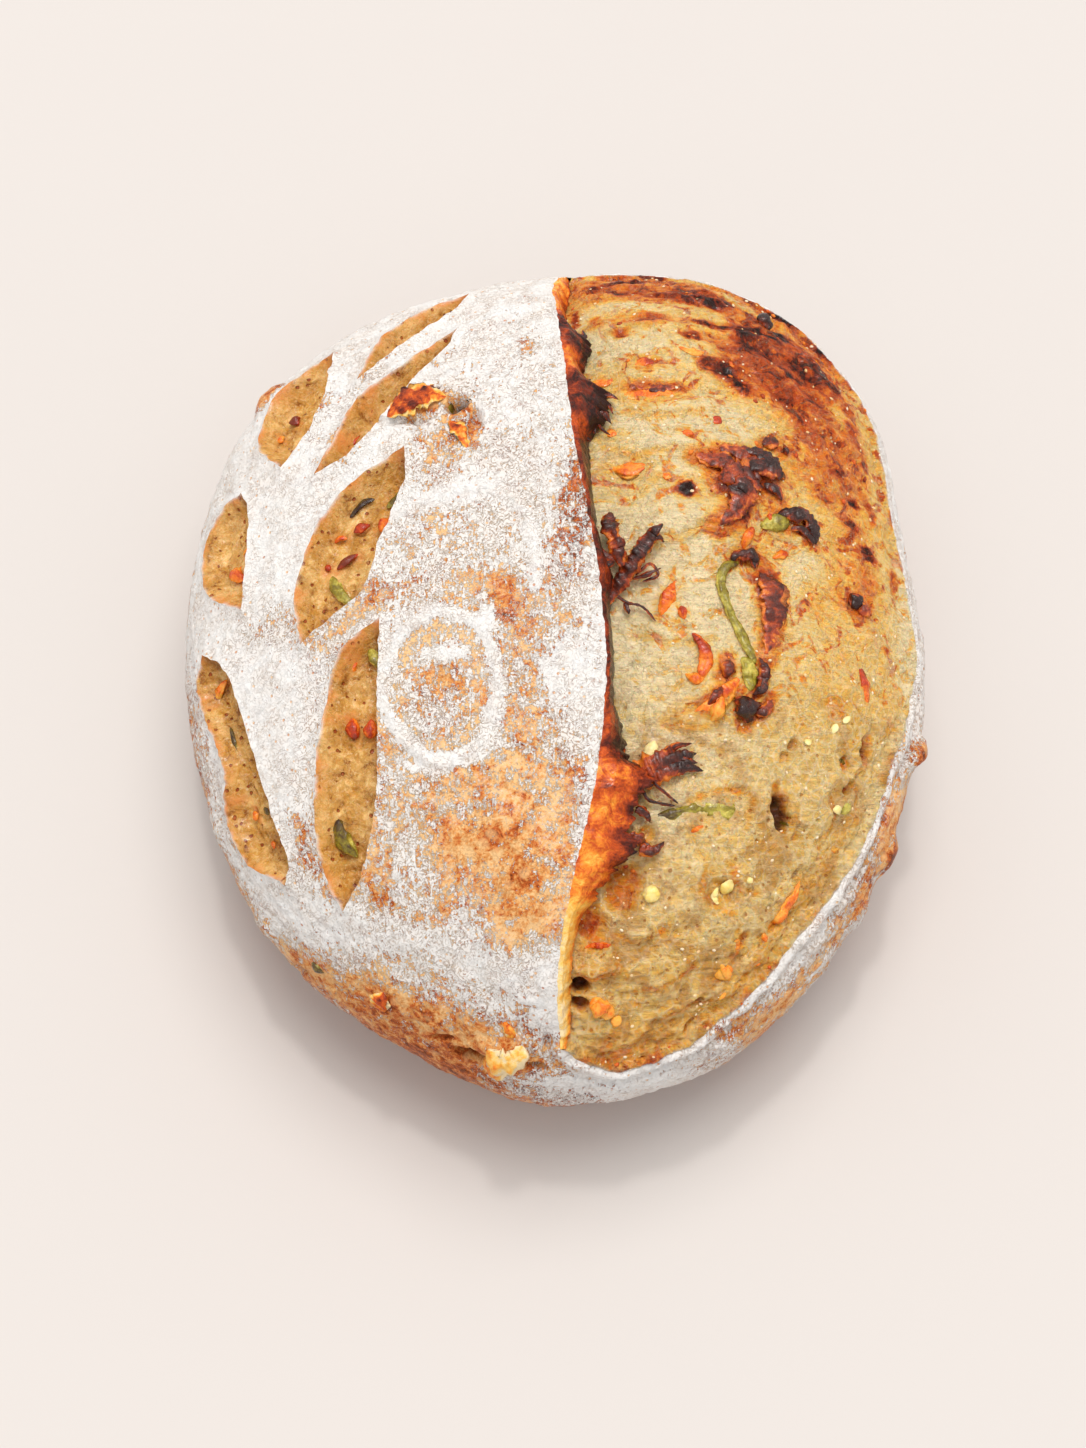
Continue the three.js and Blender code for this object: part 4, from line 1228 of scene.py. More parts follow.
def build_torn_face():
    """A ribbon from the ear's edge over its torn face and back under it to the bottom of the groove."""
    line = resampled(EAR_LINE, TORN_SPACING)
    table = np.array(TORN_FACE, float)[::-1]
    edge_p, edge_q = line.T
    width, gap, baked = (np.interp(edge_q, table[:, 0], table[:, k]) for k in (1, 2, 3))
    flat = 0 * edge_q
    frayed = 0.16 * noise(edge_q, flat, 2.2, 41) + 0.12 * noise(edge_q, flat, 0.9, 42)
    fray = frayed * width * smooth_band(width, 2, 9) + 0.4 * np.abs(noise(edge_q, flat, 3, 43))
    top = crust_lift(edge_p, edge_q)
    bottom = bloom_lift(edge_p, edge_q)
    lip = np.minimum(bloom_lift(edge_p + width, edge_q) + gap, top)
    drop = top - lip
    section = np.stack([
        (0 * width, top), (0.34 * width, top - 0.1 * drop + 0.25), (0.74 * width, top - 0.5 * drop),
        (width, lip + 0.5), (width - 0.3, lip - 0.6),
        (0.55 * width, np.minimum(lip - 0.9, 0.5 * (lip + bottom))), (0 * width, bottom),
    ])
    places = np.linspace(0, len(section) - 1, TORN_STEPS)
    low = np.minimum(places.astype(int), len(section) - 2)
    share = fade(places - low)[:, None, None]
    offset, lift = np.moveaxis(section[low] * (1 - share) + section[low + 1] * share, 1, 0)
    outer = np.clip(offset / (width + 1e-6), 0, 1)
    p = edge_p + offset + fray * outer**4
    q = edge_q + 0 * offset
    free = np.sin(np.linspace(0, math.pi, TORN_STEPS))[:, None] ** 0.5 * np.clip(width / 5, 0.25, 1)
    rough = 0.9 * noise(p, q, 6, 44) + 0.6 * noise(p, q, 2.6, 45) + 0.35 * noise(p, q, 1.2, 46)
    lift = lift + free * rough * 0.8
    positions = raised(p, q, lift).reshape(-1, 3)
    rows, columns = p.shape
    index = np.arange(rows * columns).reshape(rows, columns)
    faces = np.stack([index[:-1, :-1], index[:-1, 1:], index[1:, 1:], index[1:, :-1]], axis=-1)
    faces = faces.reshape(-1, 4)
    toast = baked - 0.16 + 0.34 * outer**2 + 0.14 * noise(p, q, 5, 47) + 0.1 * smooth_band(width, 6, 3)
    return make_piece("torn_face", positions, faces, TORN, {"toast": toast.ravel()},
                      np.stack([p.ravel(), q.ravel()], axis=1))


# ---------------------------------------------------------------- Baked-in bits

STRIP_SIDES = 18
STRIP_STEP = 0.36


def strip(line, ground_lift, widths, thickness, baked, seed=0, crumple=0.0):
    """A lumpy closed strip along (p, q, lift) points. Widths and browning are spread evenly along it."""
    share = np.linspace(0, 1, len(line))
    width = np.interp(share, np.linspace(0, 1, len(widths)), widths)
    rounded = np.clip(1 - np.abs(2 * share - 1) ** (2 + len(line) / 9), 0.0, 1) ** 0.6
    p, q = line[:, 0], line[:, 1]
    centre = raised(p, q, ground_lift + line[:, 2])
    forward = np.gradient(centre, axis=0)
    forward /= np.linalg.norm(forward, axis=1, keepdims=True) + 1e-9
    outwards = dome_frame(p, q)[2]
    aside = np.cross(forward, outwards)
    aside /= np.linalg.norm(aside, axis=1, keepdims=True) + 1e-9
    up = np.cross(aside, forward)
    turns = np.linspace(0, 2 * math.pi, STRIP_SIDES, endpoint=False)
    along, about = np.broadcast_arrays(share[:, None] * len(line) * STRIP_STEP, 2 * np.cos(turns))
    across = about + 3 * np.sin(turns)

    def ripple(size, change, stretch=1.0):
        return noise(along, across, size, seed + change, stretch)

    lumps = 0.9 + 0.22 * ripple(3.4, 0, 1.6) + 0.3 * ripple(1.4, 50, 4.0)
    lumps += 0.55 * (0.35 - np.abs(ripple(1.6, 90, 3.2)))
    lumps += crumple * (ripple(0.9, 70, 1.4) + 0.8 * ripple(2.4, 80))
    reach = (width * rounded)[:, None] * lumps / 2
    ring_points = (centre[:, None] + aside[:, None] * (reach * np.cos(turns))[..., None]
                   + up[:, None] * (reach * thickness * np.sin(turns))[..., None])
    points = np.vstack([ring_points[1:-1].reshape(-1, 3), centre[:1], centre[-1:]])
    rings = len(line) - 2
    index = np.arange(rings * STRIP_SIDES).reshape(rings, STRIP_SIDES)
    beside = np.roll(index, -1, axis=1)
    quads = np.stack([index[:-1], beside[:-1], beside[1:], index[1:]], axis=-1).reshape(-1, 4)
    start, end = rings * STRIP_SIDES, rings * STRIP_SIDES + 1
    caps = [[start, b, a] for a, b in zip(index[0], beside[0])]
    caps += [[end, a, b] for a, b in zip(index[-1], beside[-1])]
    toast = np.interp(share, np.linspace(0, 1, len(baked)), baked)
    edges = np.cos(turns) ** 6
    toasts = toast[1:-1, None] + 0.22 * (np.sin(turns) - 0.6) + 0.5 * (lumps[1:-1] - 0.95)
    toasts = (toasts - 1.2 * crumple * edges).ravel()
    toasts = np.concatenate([toasts, toast[:1], toast[-1:]])
    return points, quads.tolist() + caps, toasts


def build_strips(name, material, strips, ground, sunk=0.0, crumple=0.0):
    """One piece from many strips, which lie on the ground and are sunk into it by that many millimetres."""
    points, faces, toasts = [], [], []
    first = 0
    lines = [smooth_line(path, STRIP_STEP) for path, *_ in strips]
    places = np.vstack(lines)
    lifts = ground(places[:, 0], places[:, 1]) - sunk
    lifts = np.split(lifts, np.cumsum([len(line) for line in lines])[:-1])
    for number, (line, lift, (_, widths, thickness, baked)) in enumerate(zip(lines, lifts, strips)):
        made = strip(line, lift, widths, thickness, baked, number, crumple)
        points.append(made[0])
        faces += [[first + corner for corner in face] for face in made[1]]
        toasts.append(made[2])
        first += len(made[0])
    return make_piece(name, np.vstack(points), faces, material, {"toast": np.concatenate(toasts)})


def leaf_floor(p, q):
    """The lift of the leaf cuts' floors, which is the same all over them."""
    return 0 * p - LEAF_DEPTH


# Each strip: its path as (p, q, lift), its widths, its thickness as a share of its width, its browning.
CRISPS = [
    ([(29, 27.5, 3.5), (26, 24, 5), (22, 18, 5), (17, 11, 3), (14, 5, 4)],
     [1.2, 4.2, 4.6, 4.4, 2], 0.6, [0.9, 0.7, 0.6]),
    ([(30, 23.5, 3.5), (27, 24, 4.6), (25, 22, 5)], [0.8, 2, 2], 0.7, [0.9, 0.8]),
    ([(15, 32, 4.5), (14.5, 27, 6), (16.5, 21, 5.5), (18, 15, 4)], [2, 4.6, 4, 3], 0.7, [0.8, 0.6, 0.6]),
    ([(11, 21, 5.6), (13, 18, 6), (16, 16, 5)], [1, 2, 2], 0.7, [0.7, 0.6]),
    ([(11, 16, 5.6), (13, 14.6, 6), (16, 16, 5)], [1.6, 2, 1.5], 0.7, [0.95, 0.7]),
    ([(22, 14, 3), (26, 17, 3.5), (28, 14, 3), (24, 12.6, 2.4)], [0.8, 0.9, 0.7], 0.9, [0.5, 0.8]),
    ([(21, 13, 3), (25, 14, 3.5), (29, 16, 3.4)], [0.8, 1.2, 0.5], 0.8, [0.5, 0.9]),
    ([(16, 9, 3), (20, 6.5, 3.2), (24, 5.5, 2.6), (27.5, 1, 1.4)], [0.9, 0.8, 0.7, 0.4], 0.9, [0.7, 0.9]),
    ([(19, 7, 3), (20, 4.4, 2.8), (20.4, 3.4, 2.4)], [0.6, 1.6, 0.8], 0.9, [0.9, 1.0]),
    ([(5, 105, 5), (9.4, 104, 4), (9, 107, 4.6)], [2.5, 2, 0.6], 0.6, [0.8, 0.95]),
    ([(6, 76, 5), (9, 79, 5.4), (11, 81, 4.6)], [3, 2, 0.6], 0.7, [0.9, 0.95]),
    ([(7, 73, 4), (13, 73.6, 4.6), (18.6, 72, 3)], [4, 3, 0.6], 0.6, [0.85, 0.8, 0.9]),
    ([(9, 70, 4), (13, 67, 4.6), (16.4, 63, 2.6)], [3, 2.4, 0.5], 0.7, [0.8, 0.7, 0.9]),
    ([(8, 68, 4), (11, 63, 4), (11.4, 59, 2.4)], [3, 2, 0.6], 0.7, [0.95, 1.0]),
    ([(10, 71, 3.6), (15, 70, 4), (17, 67, 2.6)], [1.6, 1.2, 0.5], 0.8, [0.7, 0.8]),
    ([(12, 66, 4), (13, 61, 3.6), (16, 59.4, 2)], [1, 0.9, 0.5], 0.8, [0.7, 0.9]),
    ([(7, 62, 3.4), (8.4, 58.4, 3), (10.6, 57.6, 1.6)], [2, 1.6, 0.6], 0.8, [0.95, 1.0]),
    ([(4, 98, 5.4), (5, 102, 6), (6, 106, 5.6)], [3.4, 4, 2.4], 0.6, [0.85, 0.9, 0.95]),
    ([(17, -34, 3), (17.4, -37, 3), (16.6, -39.4, 2)], [3.4, 4, 1.4], 0.7, [0.85, 1.0]),
    ([(20, -43, 3.4), (27, -40, 4), (33, -37.6, 3.8), (39, -36.4, 2)],
     [7, 6.4, 4.4, 1], 0.5, [0.05, 0.4, 0.7, 1.0]),
    ([(22, -44, 3.2), (29, -42, 3.6), (35, -40.6, 3.2), (41, -41.6, 1.4)],
     [6, 5, 3.2, 0.8], 0.5, [0.1, 0.45, 0.8, 1.0]),
    ([(30, -39, 3), (35, -39, 3.4), (39, -39.4, 2.2)], [3, 2.4, 0.8], 0.6, [0.6, 0.9]),
    ([(29, -36.6, 3), (33, -34.6, 3.4), (37.6, -33.6, 1.6)], [2.4, 1.6, 0.6], 0.6, [0.5, 0.9]),
    ([(26, -44, 3.4), (29, -47, 3), (34, -51, 1.4)], [0.9, 0.8, 0.7], 0.9, [0.7, 1.0]),
    ([(24, -47, 3.4), (26, -50, 3), (33.4, -51.6, 1.2)], [1.2, 0.8, 0.8], 0.9, [0.8, 1.0]),
    ([(23, -64, 4), (27, -65, 3.6), (30.4, -62, 3)], [4, 2.6, 0.7], 0.6, [0.55, 0.8, 1.0]),
    ([(20, -60, 5), (24, -62, 4), (27, -63.6, 3.4)], [4, 3, 1], 0.5, [0.5, 0.7]),
    ([(22, -52, 4.6), (24.6, -54, 3.8), (26.4, -56.4, 2.6)], [3, 2, 0.8], 0.6, [0.6, 0.85]),
    # The charred cluster of the bloom's middle.
    ([(40, 53, 0.6), (46, 51.6, 0.9), (52, 50, 1.0)], [3, 5.6, 6], 0.26, [0.3, 0.42, 0.5]),
    ([(47, 56, 0.6), (55, 55.4, 1.2), (60, 51, 1.4)], [2.4, 5.6, 5], 0.3, [0.35, 0.55]),
    ([(55, 56.6, 1.6), (59, 56, 2.4), (63, 52.4, 2.2), (65.6, 48.4, 1.2)],
     [1.6, 4.4, 5, 2], 0.4, [0.8, 0.95, 0.85]),
    ([(55, 51.4, 1.4), (62, 50.4, 2), (69, 51.6, 1.2)], [4.6, 4.6, 1.6], 0.36, [0.7, 0.85]),
    ([(46, 45.6, 0.8), (52, 46.6, 1.4), (59, 49, 1.6)], [3.6, 8.4, 7], 0.26, [0.42, 0.6, 0.7]),
    ([(58, 47, 1.4), (53.4, 41.4, 1.4), (50, 34.6, 1), (45, 30, 0.4)],
     [7, 7.4, 5, 1.6], 0.26, [0.62, 0.5, 0.42]),
    ([(51, 43.6, 1.8), (52.6, 41.6, 2.2), (54, 40, 1.6)], [1.8, 3.2, 1.4], 0.5, [0.95, 1.0]),
    ([(60, 46, 1.4), (64, 44.6, 1.6), (66, 42, 0.8)], [2, 3.4, 1], 0.4, [0.8]),
    ([(62, 62, 0.8), (65.4, 63.6, 1.4), (68.4, 65, 0.8)], [2, 4, 2.4], 0.4, [0.7, 0.75]),
    ([(69.4, 61.6, 0.8), (71.4, 62.4, 1.2)], [2, 3, 1.4], 0.5, [0.8]),
    ([(93.6, 14.4, 0.8), (95.4, 17, 1.4), (97.6, 19, 0.8)], [2.6, 4.6, 2.6], 0.6, [1.0]),
    ([(97, 13, 0.6), (99.6, 14.6, 1), (102.6, 16.6, 0.4)], [3, 4, 1.4], 0.5, [0.4, 0.5]),
    ([(58.6, 19, 0.3), (61, 12, 0.8), (61.6, 3, 0.7), (60, -7, 0.2)],
     [3, 7.4, 6.4, 2], 0.16, [0.36, 0.56, 0.3]),
    ([(24, 80, 0.4), (30, 78.4, 0.7), (37, 79, 0.3)], [1.6, 3.4, 1], 0.3, [0.3, 0.45, 0.3]),
    # Charred ends of the long pepper strip.
    ([(56.6, 19, 1.4), (56, 22.6, 2.4), (51.4, 22.4, 2.2), (49.6, 20.4, 1.4)],
     [1.2, 3.4, 3, 1.6], 0.6, [0.95, 0.85]),
    ([(57, -8, 1.2), (58.6, -12, 2), (58, -17, 1.8), (55.4, -19, 0.8)],
     [1.2, 3, 3, 1.6], 0.8, [0.75, 0.8]),
    ([(52, -19.6, 1), (52.6, -23, 2.4), (54, -27.4, 1.6)], [4, 6, 4], 0.7, [0.9, 1.0]),
    ([(56, -24.6, 1.6), (59.4, -23.4, 2.2), (61.6, -20, 1.6)], [3, 3, 2], 0.7, [0.7, 0.3]),
    ([(47.4, -9.4, 0.8), (47.6, -12, 1.6), (47, -14.6, 0.8)], [2.6, 4, 2], 0.6, [0.7, 0.8]),
    ([(41.4, -23, 0.6), (43, -20.6, 1.2), (46.4, -17, 0.6)], [1.2, 2.6, 1.4], 0.6, [0.35, 0.6]),
    # Crumbs at the back and browned bumps at the right.
    ([(73, 131.4, 0.4), (75, 128.6, 1.6), (76.6, 126, 0.4)], [2.6, 4, 2.6], 0.9, [1.0]),
    ([(64, 37, 1), (69, 37.6, 2), (75, 36.6, 2), (78, 31, 1)], [1.6, 4, 4.4, 2], 0.55, [0.9, 1.0]),
    ([(68, 33, 1), (72, 33.6, 1.6), (76.6, 30, 1)], [1.4, 2, 1.4], 0.6, [0.6, 0.9]),
]
PEPPERS = [
    ([(52, 20.6, 1.0), (47.4, 18, 1.4), (46, 12, 1.3), (48, 5.4, 1.2), (51, 0, 1.2), (54, -6, 1.1),
      (56, -10, 0.9)],
     [2, 2.6, 2.6, 2.4, 2.4, 2.8, 1.6], 0.75, [0.55, 0.3, 0.25, 0.3, 0.2]),
    ([(52, -8, 0.4), (54.4, -13, 0.8), (54.6, -18, 0.4)], [2, 4.6, 2], 0.5, [0.1, 0.3]),
    ([(27, -55, -0.2), (34, -53.8, 0), (42, -52.6, 0), (52, -53, -0.2)],
     [1.6, 3.2, 4, 5], 0.35, [0.45, 0.3, 0.2]),
    ([(59, 33, 0.4), (63, 34.4, 1), (68, 35.4, 0.8)], [2.4, 4.6, 3.4], 0.5, [0.2, 0.3, 0.6]),
    ([(66.4, -50, -3.4), (68, -54, -3), (72.6, -59.4, -1)], [2, 2, 1], 0.6, [0.6, 0.5]),
    ([(68, -55, -3), (66.4, -60, -2.6), (66, -63, -1)], [1.4, 1.6, 0.8], 0.6, [0.5]),
    ([(89.6, -38, -1.4), (92.4, -37, -1), (94.4, -39, -1.4)], [2.6, 4.6, 2.4], 0.6, [0.2]),
    ([(99.6, -30, -2.6), (101.4, -33.6, -2), (101, -37, -2.6)], [2.4, 3.6, 2], 0.6, [0.7]),
    ([(91.4, -54, 0), (94, -52.6, 0.2), (96, -51, 0)], [2, 3.6, 1.6], 0.5, [0.15]),
]
LEAF_PEPPERS = [
    ([(-65, 19.4, 0.6), (-63.6, 16, 1), (-60, 11.4, 0.9), (-56.6, 8.6, 0.5)],
     [2, 3.4, 3, 1.6], 0.6, [0.25, 0.4]),
    ([(-60, 37.6, 0.5), (-56, 41.4, 0.6), (-52, 42.4, 0.5)], [1.2, 2, 1.4], 0.5, [0.85, 0.8]),
    ([(-48, 38.6, 0.4), (-45, 41, 0.6), (-44, 44, 0.4)], [1.6, 2.4, 1.2], 0.5, [0.7, 0.5]),
    ([(-65.4, -56, 0.5), (-64, -62, 1.2), (-60, -68.6, 0.5)], [2.6, 5, 2], 0.6, [0.85, 0.4, 0.4]),
    ([(-52, -4.6, 0.6), (-50, -8, 1), (-48, -11, 0.5)], [2, 3.6, 1.6], 0.5, [0.2, 0.3]),
    ([(-48.6, -3, 0.6), (-48, -6, 0.8), (-47.6, -8.6, 0.5)], [1.2, 2, 1], 0.6, [0.9]),
    ([(-114, -23, 0.5), (-111.4, -29, 0.8), (-109, -36, 0.4)], [1.2, 1.8, 1], 0.6, [0.75, 0.6]),
    ([(-99, -52.6, 0.5), (-96, -55, 0.7)], [1.4, 2, 1], 0.6, [0.6]),
]
CHEESES = [
    ([(20, 76, 0.3), (28, 77, 0.6), (36, 76, 0.3)], [2, 5, 2], 0.22, [0.1, 0.25, 0.1]),
    ([(10, 84, 0.3), (14, 83, 0.6), (18, 84, 0.3)], [1.6, 3.6, 1.6], 0.25, [0.2, 0.4]),
    ([(24, 90, 0.3), (28, 91, 0.6), (31, 90, 0.3)], [1.6, 3.6, 1.4], 0.3, [0.3, 0.5]),
    ([(38, 97, 0.3), (43, 96, 0.6), (47, 97, 0.3)], [1.4, 3, 1.4], 0.25, [0.1, 0.3]),
    ([(16, 50, 0.3), (21, 48, 0.6), (26, 49, 0.3)], [2, 5.4, 2], 0.22, [0.1, 0.3]),
    ([(30, 46, 0.3), (33, 45, 0.5)], [1.4, 2.6, 1.2], 0.3, [0.3]),
    ([(14, 62, 0.3), (18, 61, 0.5)], [1.4, 3, 1.2], 0.25, [0.1]),
    ([(46, 68, 0.3), (49, 66, 0.6)], [1.6, 3, 1.2], 0.3, [0.7]),
    ([(36, 61, 0.3), (40, 60, 0.6)], [1.4, 2.6, 1.2], 0.3, [0.5]),
    ([(52, -14, 0.2), (48, -18, 0.6), (44, -22, 0.4), (38, -25, 0.2)],
     [2, 4.6, 4, 1.6], 0.24, [0.3, 0.2, 0.1]),
    ([(62, -2, 0.2), (65, 8, 0.5), (66, 18, 0.2)], [1.4, 3, 1.2], 0.25, [0.1, 0.25]),
    ([(29, 3, 0.3), (30.4, 7, 1.1), (33.6, 14, 0.3)], [1.6, 4.4, 1], 0.55, [0.2, 0.35, 0.5]),
    ([(35.4, 1.6, 0.3), (34.8, 3.6, 0.9), (34.6, 6, 0.3)], [1.4, 2.6, 1.2], 0.6, [0.2, 0.5]),
    ([(37.4, -2, 0.5), (40, -5, 1.1), (41.4, -10, 1.1), (40, -15, 0.7)],
     [1.4, 3.2, 4, 2.4], 0.6, [0.5, 0.65, 0.4, 0.3]),
    ([(36, -13, 0.3), (38, -14.6, 0.9), (41, -15, 0.5)], [1.6, 3.6, 2.4], 0.6, [0.15, 0.3]),
    ([(43, -27.4, 0.3), (44.4, -24, 1), (45.4, -21, 0.4)], [2, 4.4, 2], 0.5, [0.1, 0.3]),
    ([(61, 35.6, 0.8), (63, 36.2, 1.5)], [1.6, 2.6, 1], 0.7, [0.5, 0.6]),
    ([(63, 24, 0.5), (66, 25.4, 1.1), (68.6, 26.6, 0.4)], [1.4, 2.8, 1.2], 0.6, [0.4, 0.5]),
    ([(53.6, 25, 0.3), (54.6, 28.4, 1.1), (56.6, 32, 0.5)], [1.6, 3, 1.6], 0.6, [0.2, 0.5]),
    ([(98.4, -4.6, 0.1), (98.8, -10, 0.8), (101, -17, 0.2)], [1.4, 3.6, 2], 0.5, [0.75, 0.6, 0.4]),
    ([(38.6, -59.4, 0.3), (42, -57.6, 0.5)], [1, 1.6, 0.8], 0.6, [0.2]),
    ([(70, -95, 0.6), (73, -88, 1.1), (76, -82, 1), (78.6, -77, 0.6)],
     [2, 3, 2.6, 1], 0.5, [0.15, 0.3, 0.1]),
    ([(67, -97, 0.4), (69, -96, 0.8)], [1.6, 3, 1.4], 0.6, [0.25]),
    ([(56.4, -95, 0.2), (58.4, -98, 0.9), (58, -100, 0.3)], [1.6, 3, 1.6], 0.6, [0.1]),
    ([(52, -109.6, 0.3), (55, -107.4, 1.2), (57, -106, 0.5)], [2.6, 5, 3], 0.55, [0.05]),
    ([(55, -117, 0.3), (56.6, -118.4, 0.8)], [1.4, 2.8, 1.2], 0.6, [0.15]),
    ([(9, -96.6, 0.5), (13, -95.6, 1), (17, -95, 0.4)], [1, 2, 1.4], 0.6, [0.3, 0.5]),
    ([(11.6, -115, 0.5), (15, -119, 1.4), (19, -122.4, 0.6)], [3, 5.4, 3.4], 0.5, [0.12]),
    ([(18.4, -124, 0.5), (21.6, -126, 1)], [2.4, 4, 2.4], 0.55, [0.15]),
    ([(7, -109.6, -2), (8.6, -111.6, -2)], [2, 3.4, 2], 0.6, [0.9]),
]
LEAF_CHEESES = [
    ([(-58.6, 32.6, 0.5), (-55.6, 33.4, 1), (-53, 34.2, 0.4)], [1.2, 2.8, 1], 0.6, [0.6, 0.8]),
    ([(-50, 31.4, 0.5), (-47.6, 33, 1.1), (-46, 34.6, 0.5)], [2.4, 4.6, 2.4], 0.6, [0.35]),
    ([(-63.6, 21.4, 0.5), (-60, 23.4, 1), (-56.6, 25.4, 0.4)], [1.2, 2.4, 1.2], 0.6, [0.9, 0.8]),
    ([(-67.4, 21.6, 0.5), (-66, 23.4, 0.8)], [1.6, 2.4, 1.2], 0.6, [0.6]),
    ([(-65.4, 30.6, 0.3), (-63, 31.6, 0.6), (-60.6, 31, 0.3)], [1, 1.8, 0.8], 0.6, [0.3]),
    ([(-58, -25, 0.5), (-57.6, -29, 1.2), (-57, -31.6, 0.6)], [1.6, 4, 2.6], 0.6, [0.2, 0.6, 0.95]),
    ([(-52, -25.6, 0.5), (-52, -29, 1.1), (-52.6, -31.6, 0.5)], [1.4, 3.4, 2.6], 0.6, [0.3, 0.4]),
    ([(-59.6, -12.6, 0.5), (-58, -10.6, 0.9), (-56, -7.6, 0.4)], [1.2, 2.4, 1.2], 0.6, [0.35]),
    ([(-57, -7.6, 0.8), (-54.6, -4.6, 1.3), (-53, -2.6, 0.6)], [1.6, 3, 1.6], 0.6, [0.4, 0.6]),
    ([(-49.4, -14, 0.5), (-48.4, -15.6, 0.9)], [1.6, 2.6, 1.2], 0.6, [0.05]),
    ([(-90.4, 92, 0.3), (-89.6, 88.6, 0.9), (-87.6, 86, 0.3)], [1.6, 3.2, 1.4], 0.6, [0.95, 0.9]),
    ([(-78.4, 88.6, 0.3), (-77, 85.6, 0.9), (-75.4, 83.6, 0.3)], [1.6, 3.2, 1.6], 0.6, [0.7, 0.8]),
    ([(-96, 85, 0.3), (-95, 82, 0.6), (-94, 80.6, 0.3)], [1.2, 2.2, 1.2], 0.6, [0.2]),
    ([(-113, 34.6, 0.3), (-109.6, 31.6, 1), (-105, 28, 0.4)], [2.4, 4.6, 2], 0.5, [0.5, 0.35]),
    ([(-107, 38.4, 0.3), (-104, 39, 0.7), (-100.6, 37.6, 0.3)], [1, 1.8, 1], 0.6, [0.1, 0.4]),
    ([(-122, -14, 0.3), (-122.6, -11, 0.9), (-118, -7.6, 0.8), (-115, -5.6, 0.3)],
     [1.6, 3, 2.6, 1.2], 0.6, [0.15, 0.3]),
    ([(-91, -50.6, 0.7), (-89.4, -54, 1.1), (-87.6, -57, 0.5)], [2, 3.4, 1.6], 0.6, [0.3, 0.5]),
    ([(-98.6, -65, 0.3), (-97, -67.6, 0.7)], [1.2, 2.2, 1.2], 0.6, [0.35]),
    ([(-107, -54, 0.3), (-105.6, -57.6, 0.6)], [1.4, 2.6, 1.4], 0.6, [0.3]),
    ([(-58, 76.6, 0.6), (-57, 80, 0.9), (-55.6, 84, 0.5)], [1.4, 2.4, 1.2], 0.5, [0.75]),
    ([(-63.6, 62, 0.6), (-61.4, 66.4, 1), (-59.6, 69, 0.5)], [1.2, 2, 1], 0.5, [0.75]),
]
CRUST_BITS = [
    ([(-59, -119, 0.2), (-60.6, -123, 0.9), (-63.6, -130, 0.3)], [3, 6.4, 3], 0.45, [0.7, 0.4, 0.6]),
    ([(-22, -137, 0.5), (-17, -140, 2), (-12, -139, 1), (-10, -134, 0.4)],
     [4, 7.5, 6, 3], 0.5, [0.3, 0.1, 0.15]),
    ([(-25, -146, 0.5), (-20, -149, 1.6), (-14, -147, 0.6)], [3, 5.6, 4], 0.5, [0.5, 0.2, 0.25]),
    ([(-16, -124, 0.1), (-14, -128, 0.8), (-15, -131, 0.2)], [2, 3.6, 2], 0.5, [0.35]),
    ([(-49, 69, 0.2), (-43, 72, 1.6), (-36, 73.6, 1.2), (-31, 73, 0.2)],
     [3, 9, 8, 2], 0.16, [0.5, 0.62, 0.4]),
    ([(-47, 77, 0.2), (-40, 78.6, 1.2), (-33, 78, 0.2)], [1.6, 3.6, 1.4], 0.25, [0.56, 0.7]),
    ([(-30, 64, 0.2), (-26, 59, 1.0), (-24, 53, 0.2)], [1.6, 4.4, 1.6], 0.2, [0.5, 0.4]),
]
CRUST_PEPPERS = [
    ([(-32, 73, -2.4), (-29, 71, -1.4), (-25.6, 68, -2.2)], [1.6, 3.4, 1.8], 0.6, [0.5, 0.8]),
    ([(-26, 74, -1.6), (-23.6, 72, -0.8), (-21.6, 70, -1.4)], [1.4, 2.6, 1.2], 0.6, [0.85]),
    ([(-89.6, -112, -0.4), (-87.6, -115, 0.2), (-86, -118, -0.4)], [1.6, 3, 1.4], 0.6, [0.6]),
]
SEEDS = [
    ([(24.6, -34.6, 0.7), (26.4, -35.4, 1.5), (28, -36.4, 0.8)], [3.2, 4.6, 3], 0.35, [0.05]),
    ([(26.6, -75.6, 0.6), (27.4, -78, 1.3), (27.6, -81, 0.5)], [2.6, 4.8, 3], 0.5, [0.35, 0.5, 0.3]),
    ([(52, -74.6, 0.6), (51.6, -77, 1.1), (50.4, -79.4, 0.5)], [1.8, 3.4, 2], 0.5, [0.3]),
    ([(48.6, -77, 0.4), (47.6, -80, 0.8), (48.8, -82.6, 0.4)], [1, 2, 1], 0.5, [0.15]),
    ([(57, -74, 0.3), (58.6, -76, 0.8)], [1.4, 2.2, 1.2], 0.5, [0.2]),
    ([(86, -53.4, 0.6), (88.6, -53, 1), (91, -52.6, 0.5)], [1.4, 2.6, 1.4], 0.5, [0.0]),
    ([(74.4, -31, 0.3), (75.6, -33, 0.8)], [1.4, 2.2, 1.2], 0.5, [0.1]),
    ([(89.4, -23, 0.3), (91, -24.6, 0.8)], [2, 3, 1.6], 0.4, [0.0]),
    ([(84, -26.6, 0.3), (86, -27.6, 0.8)], [2, 3, 1.6], 0.4, [0.0]),
]


# ---------------------------------------------------------------- Scattered beads, flecks and grains


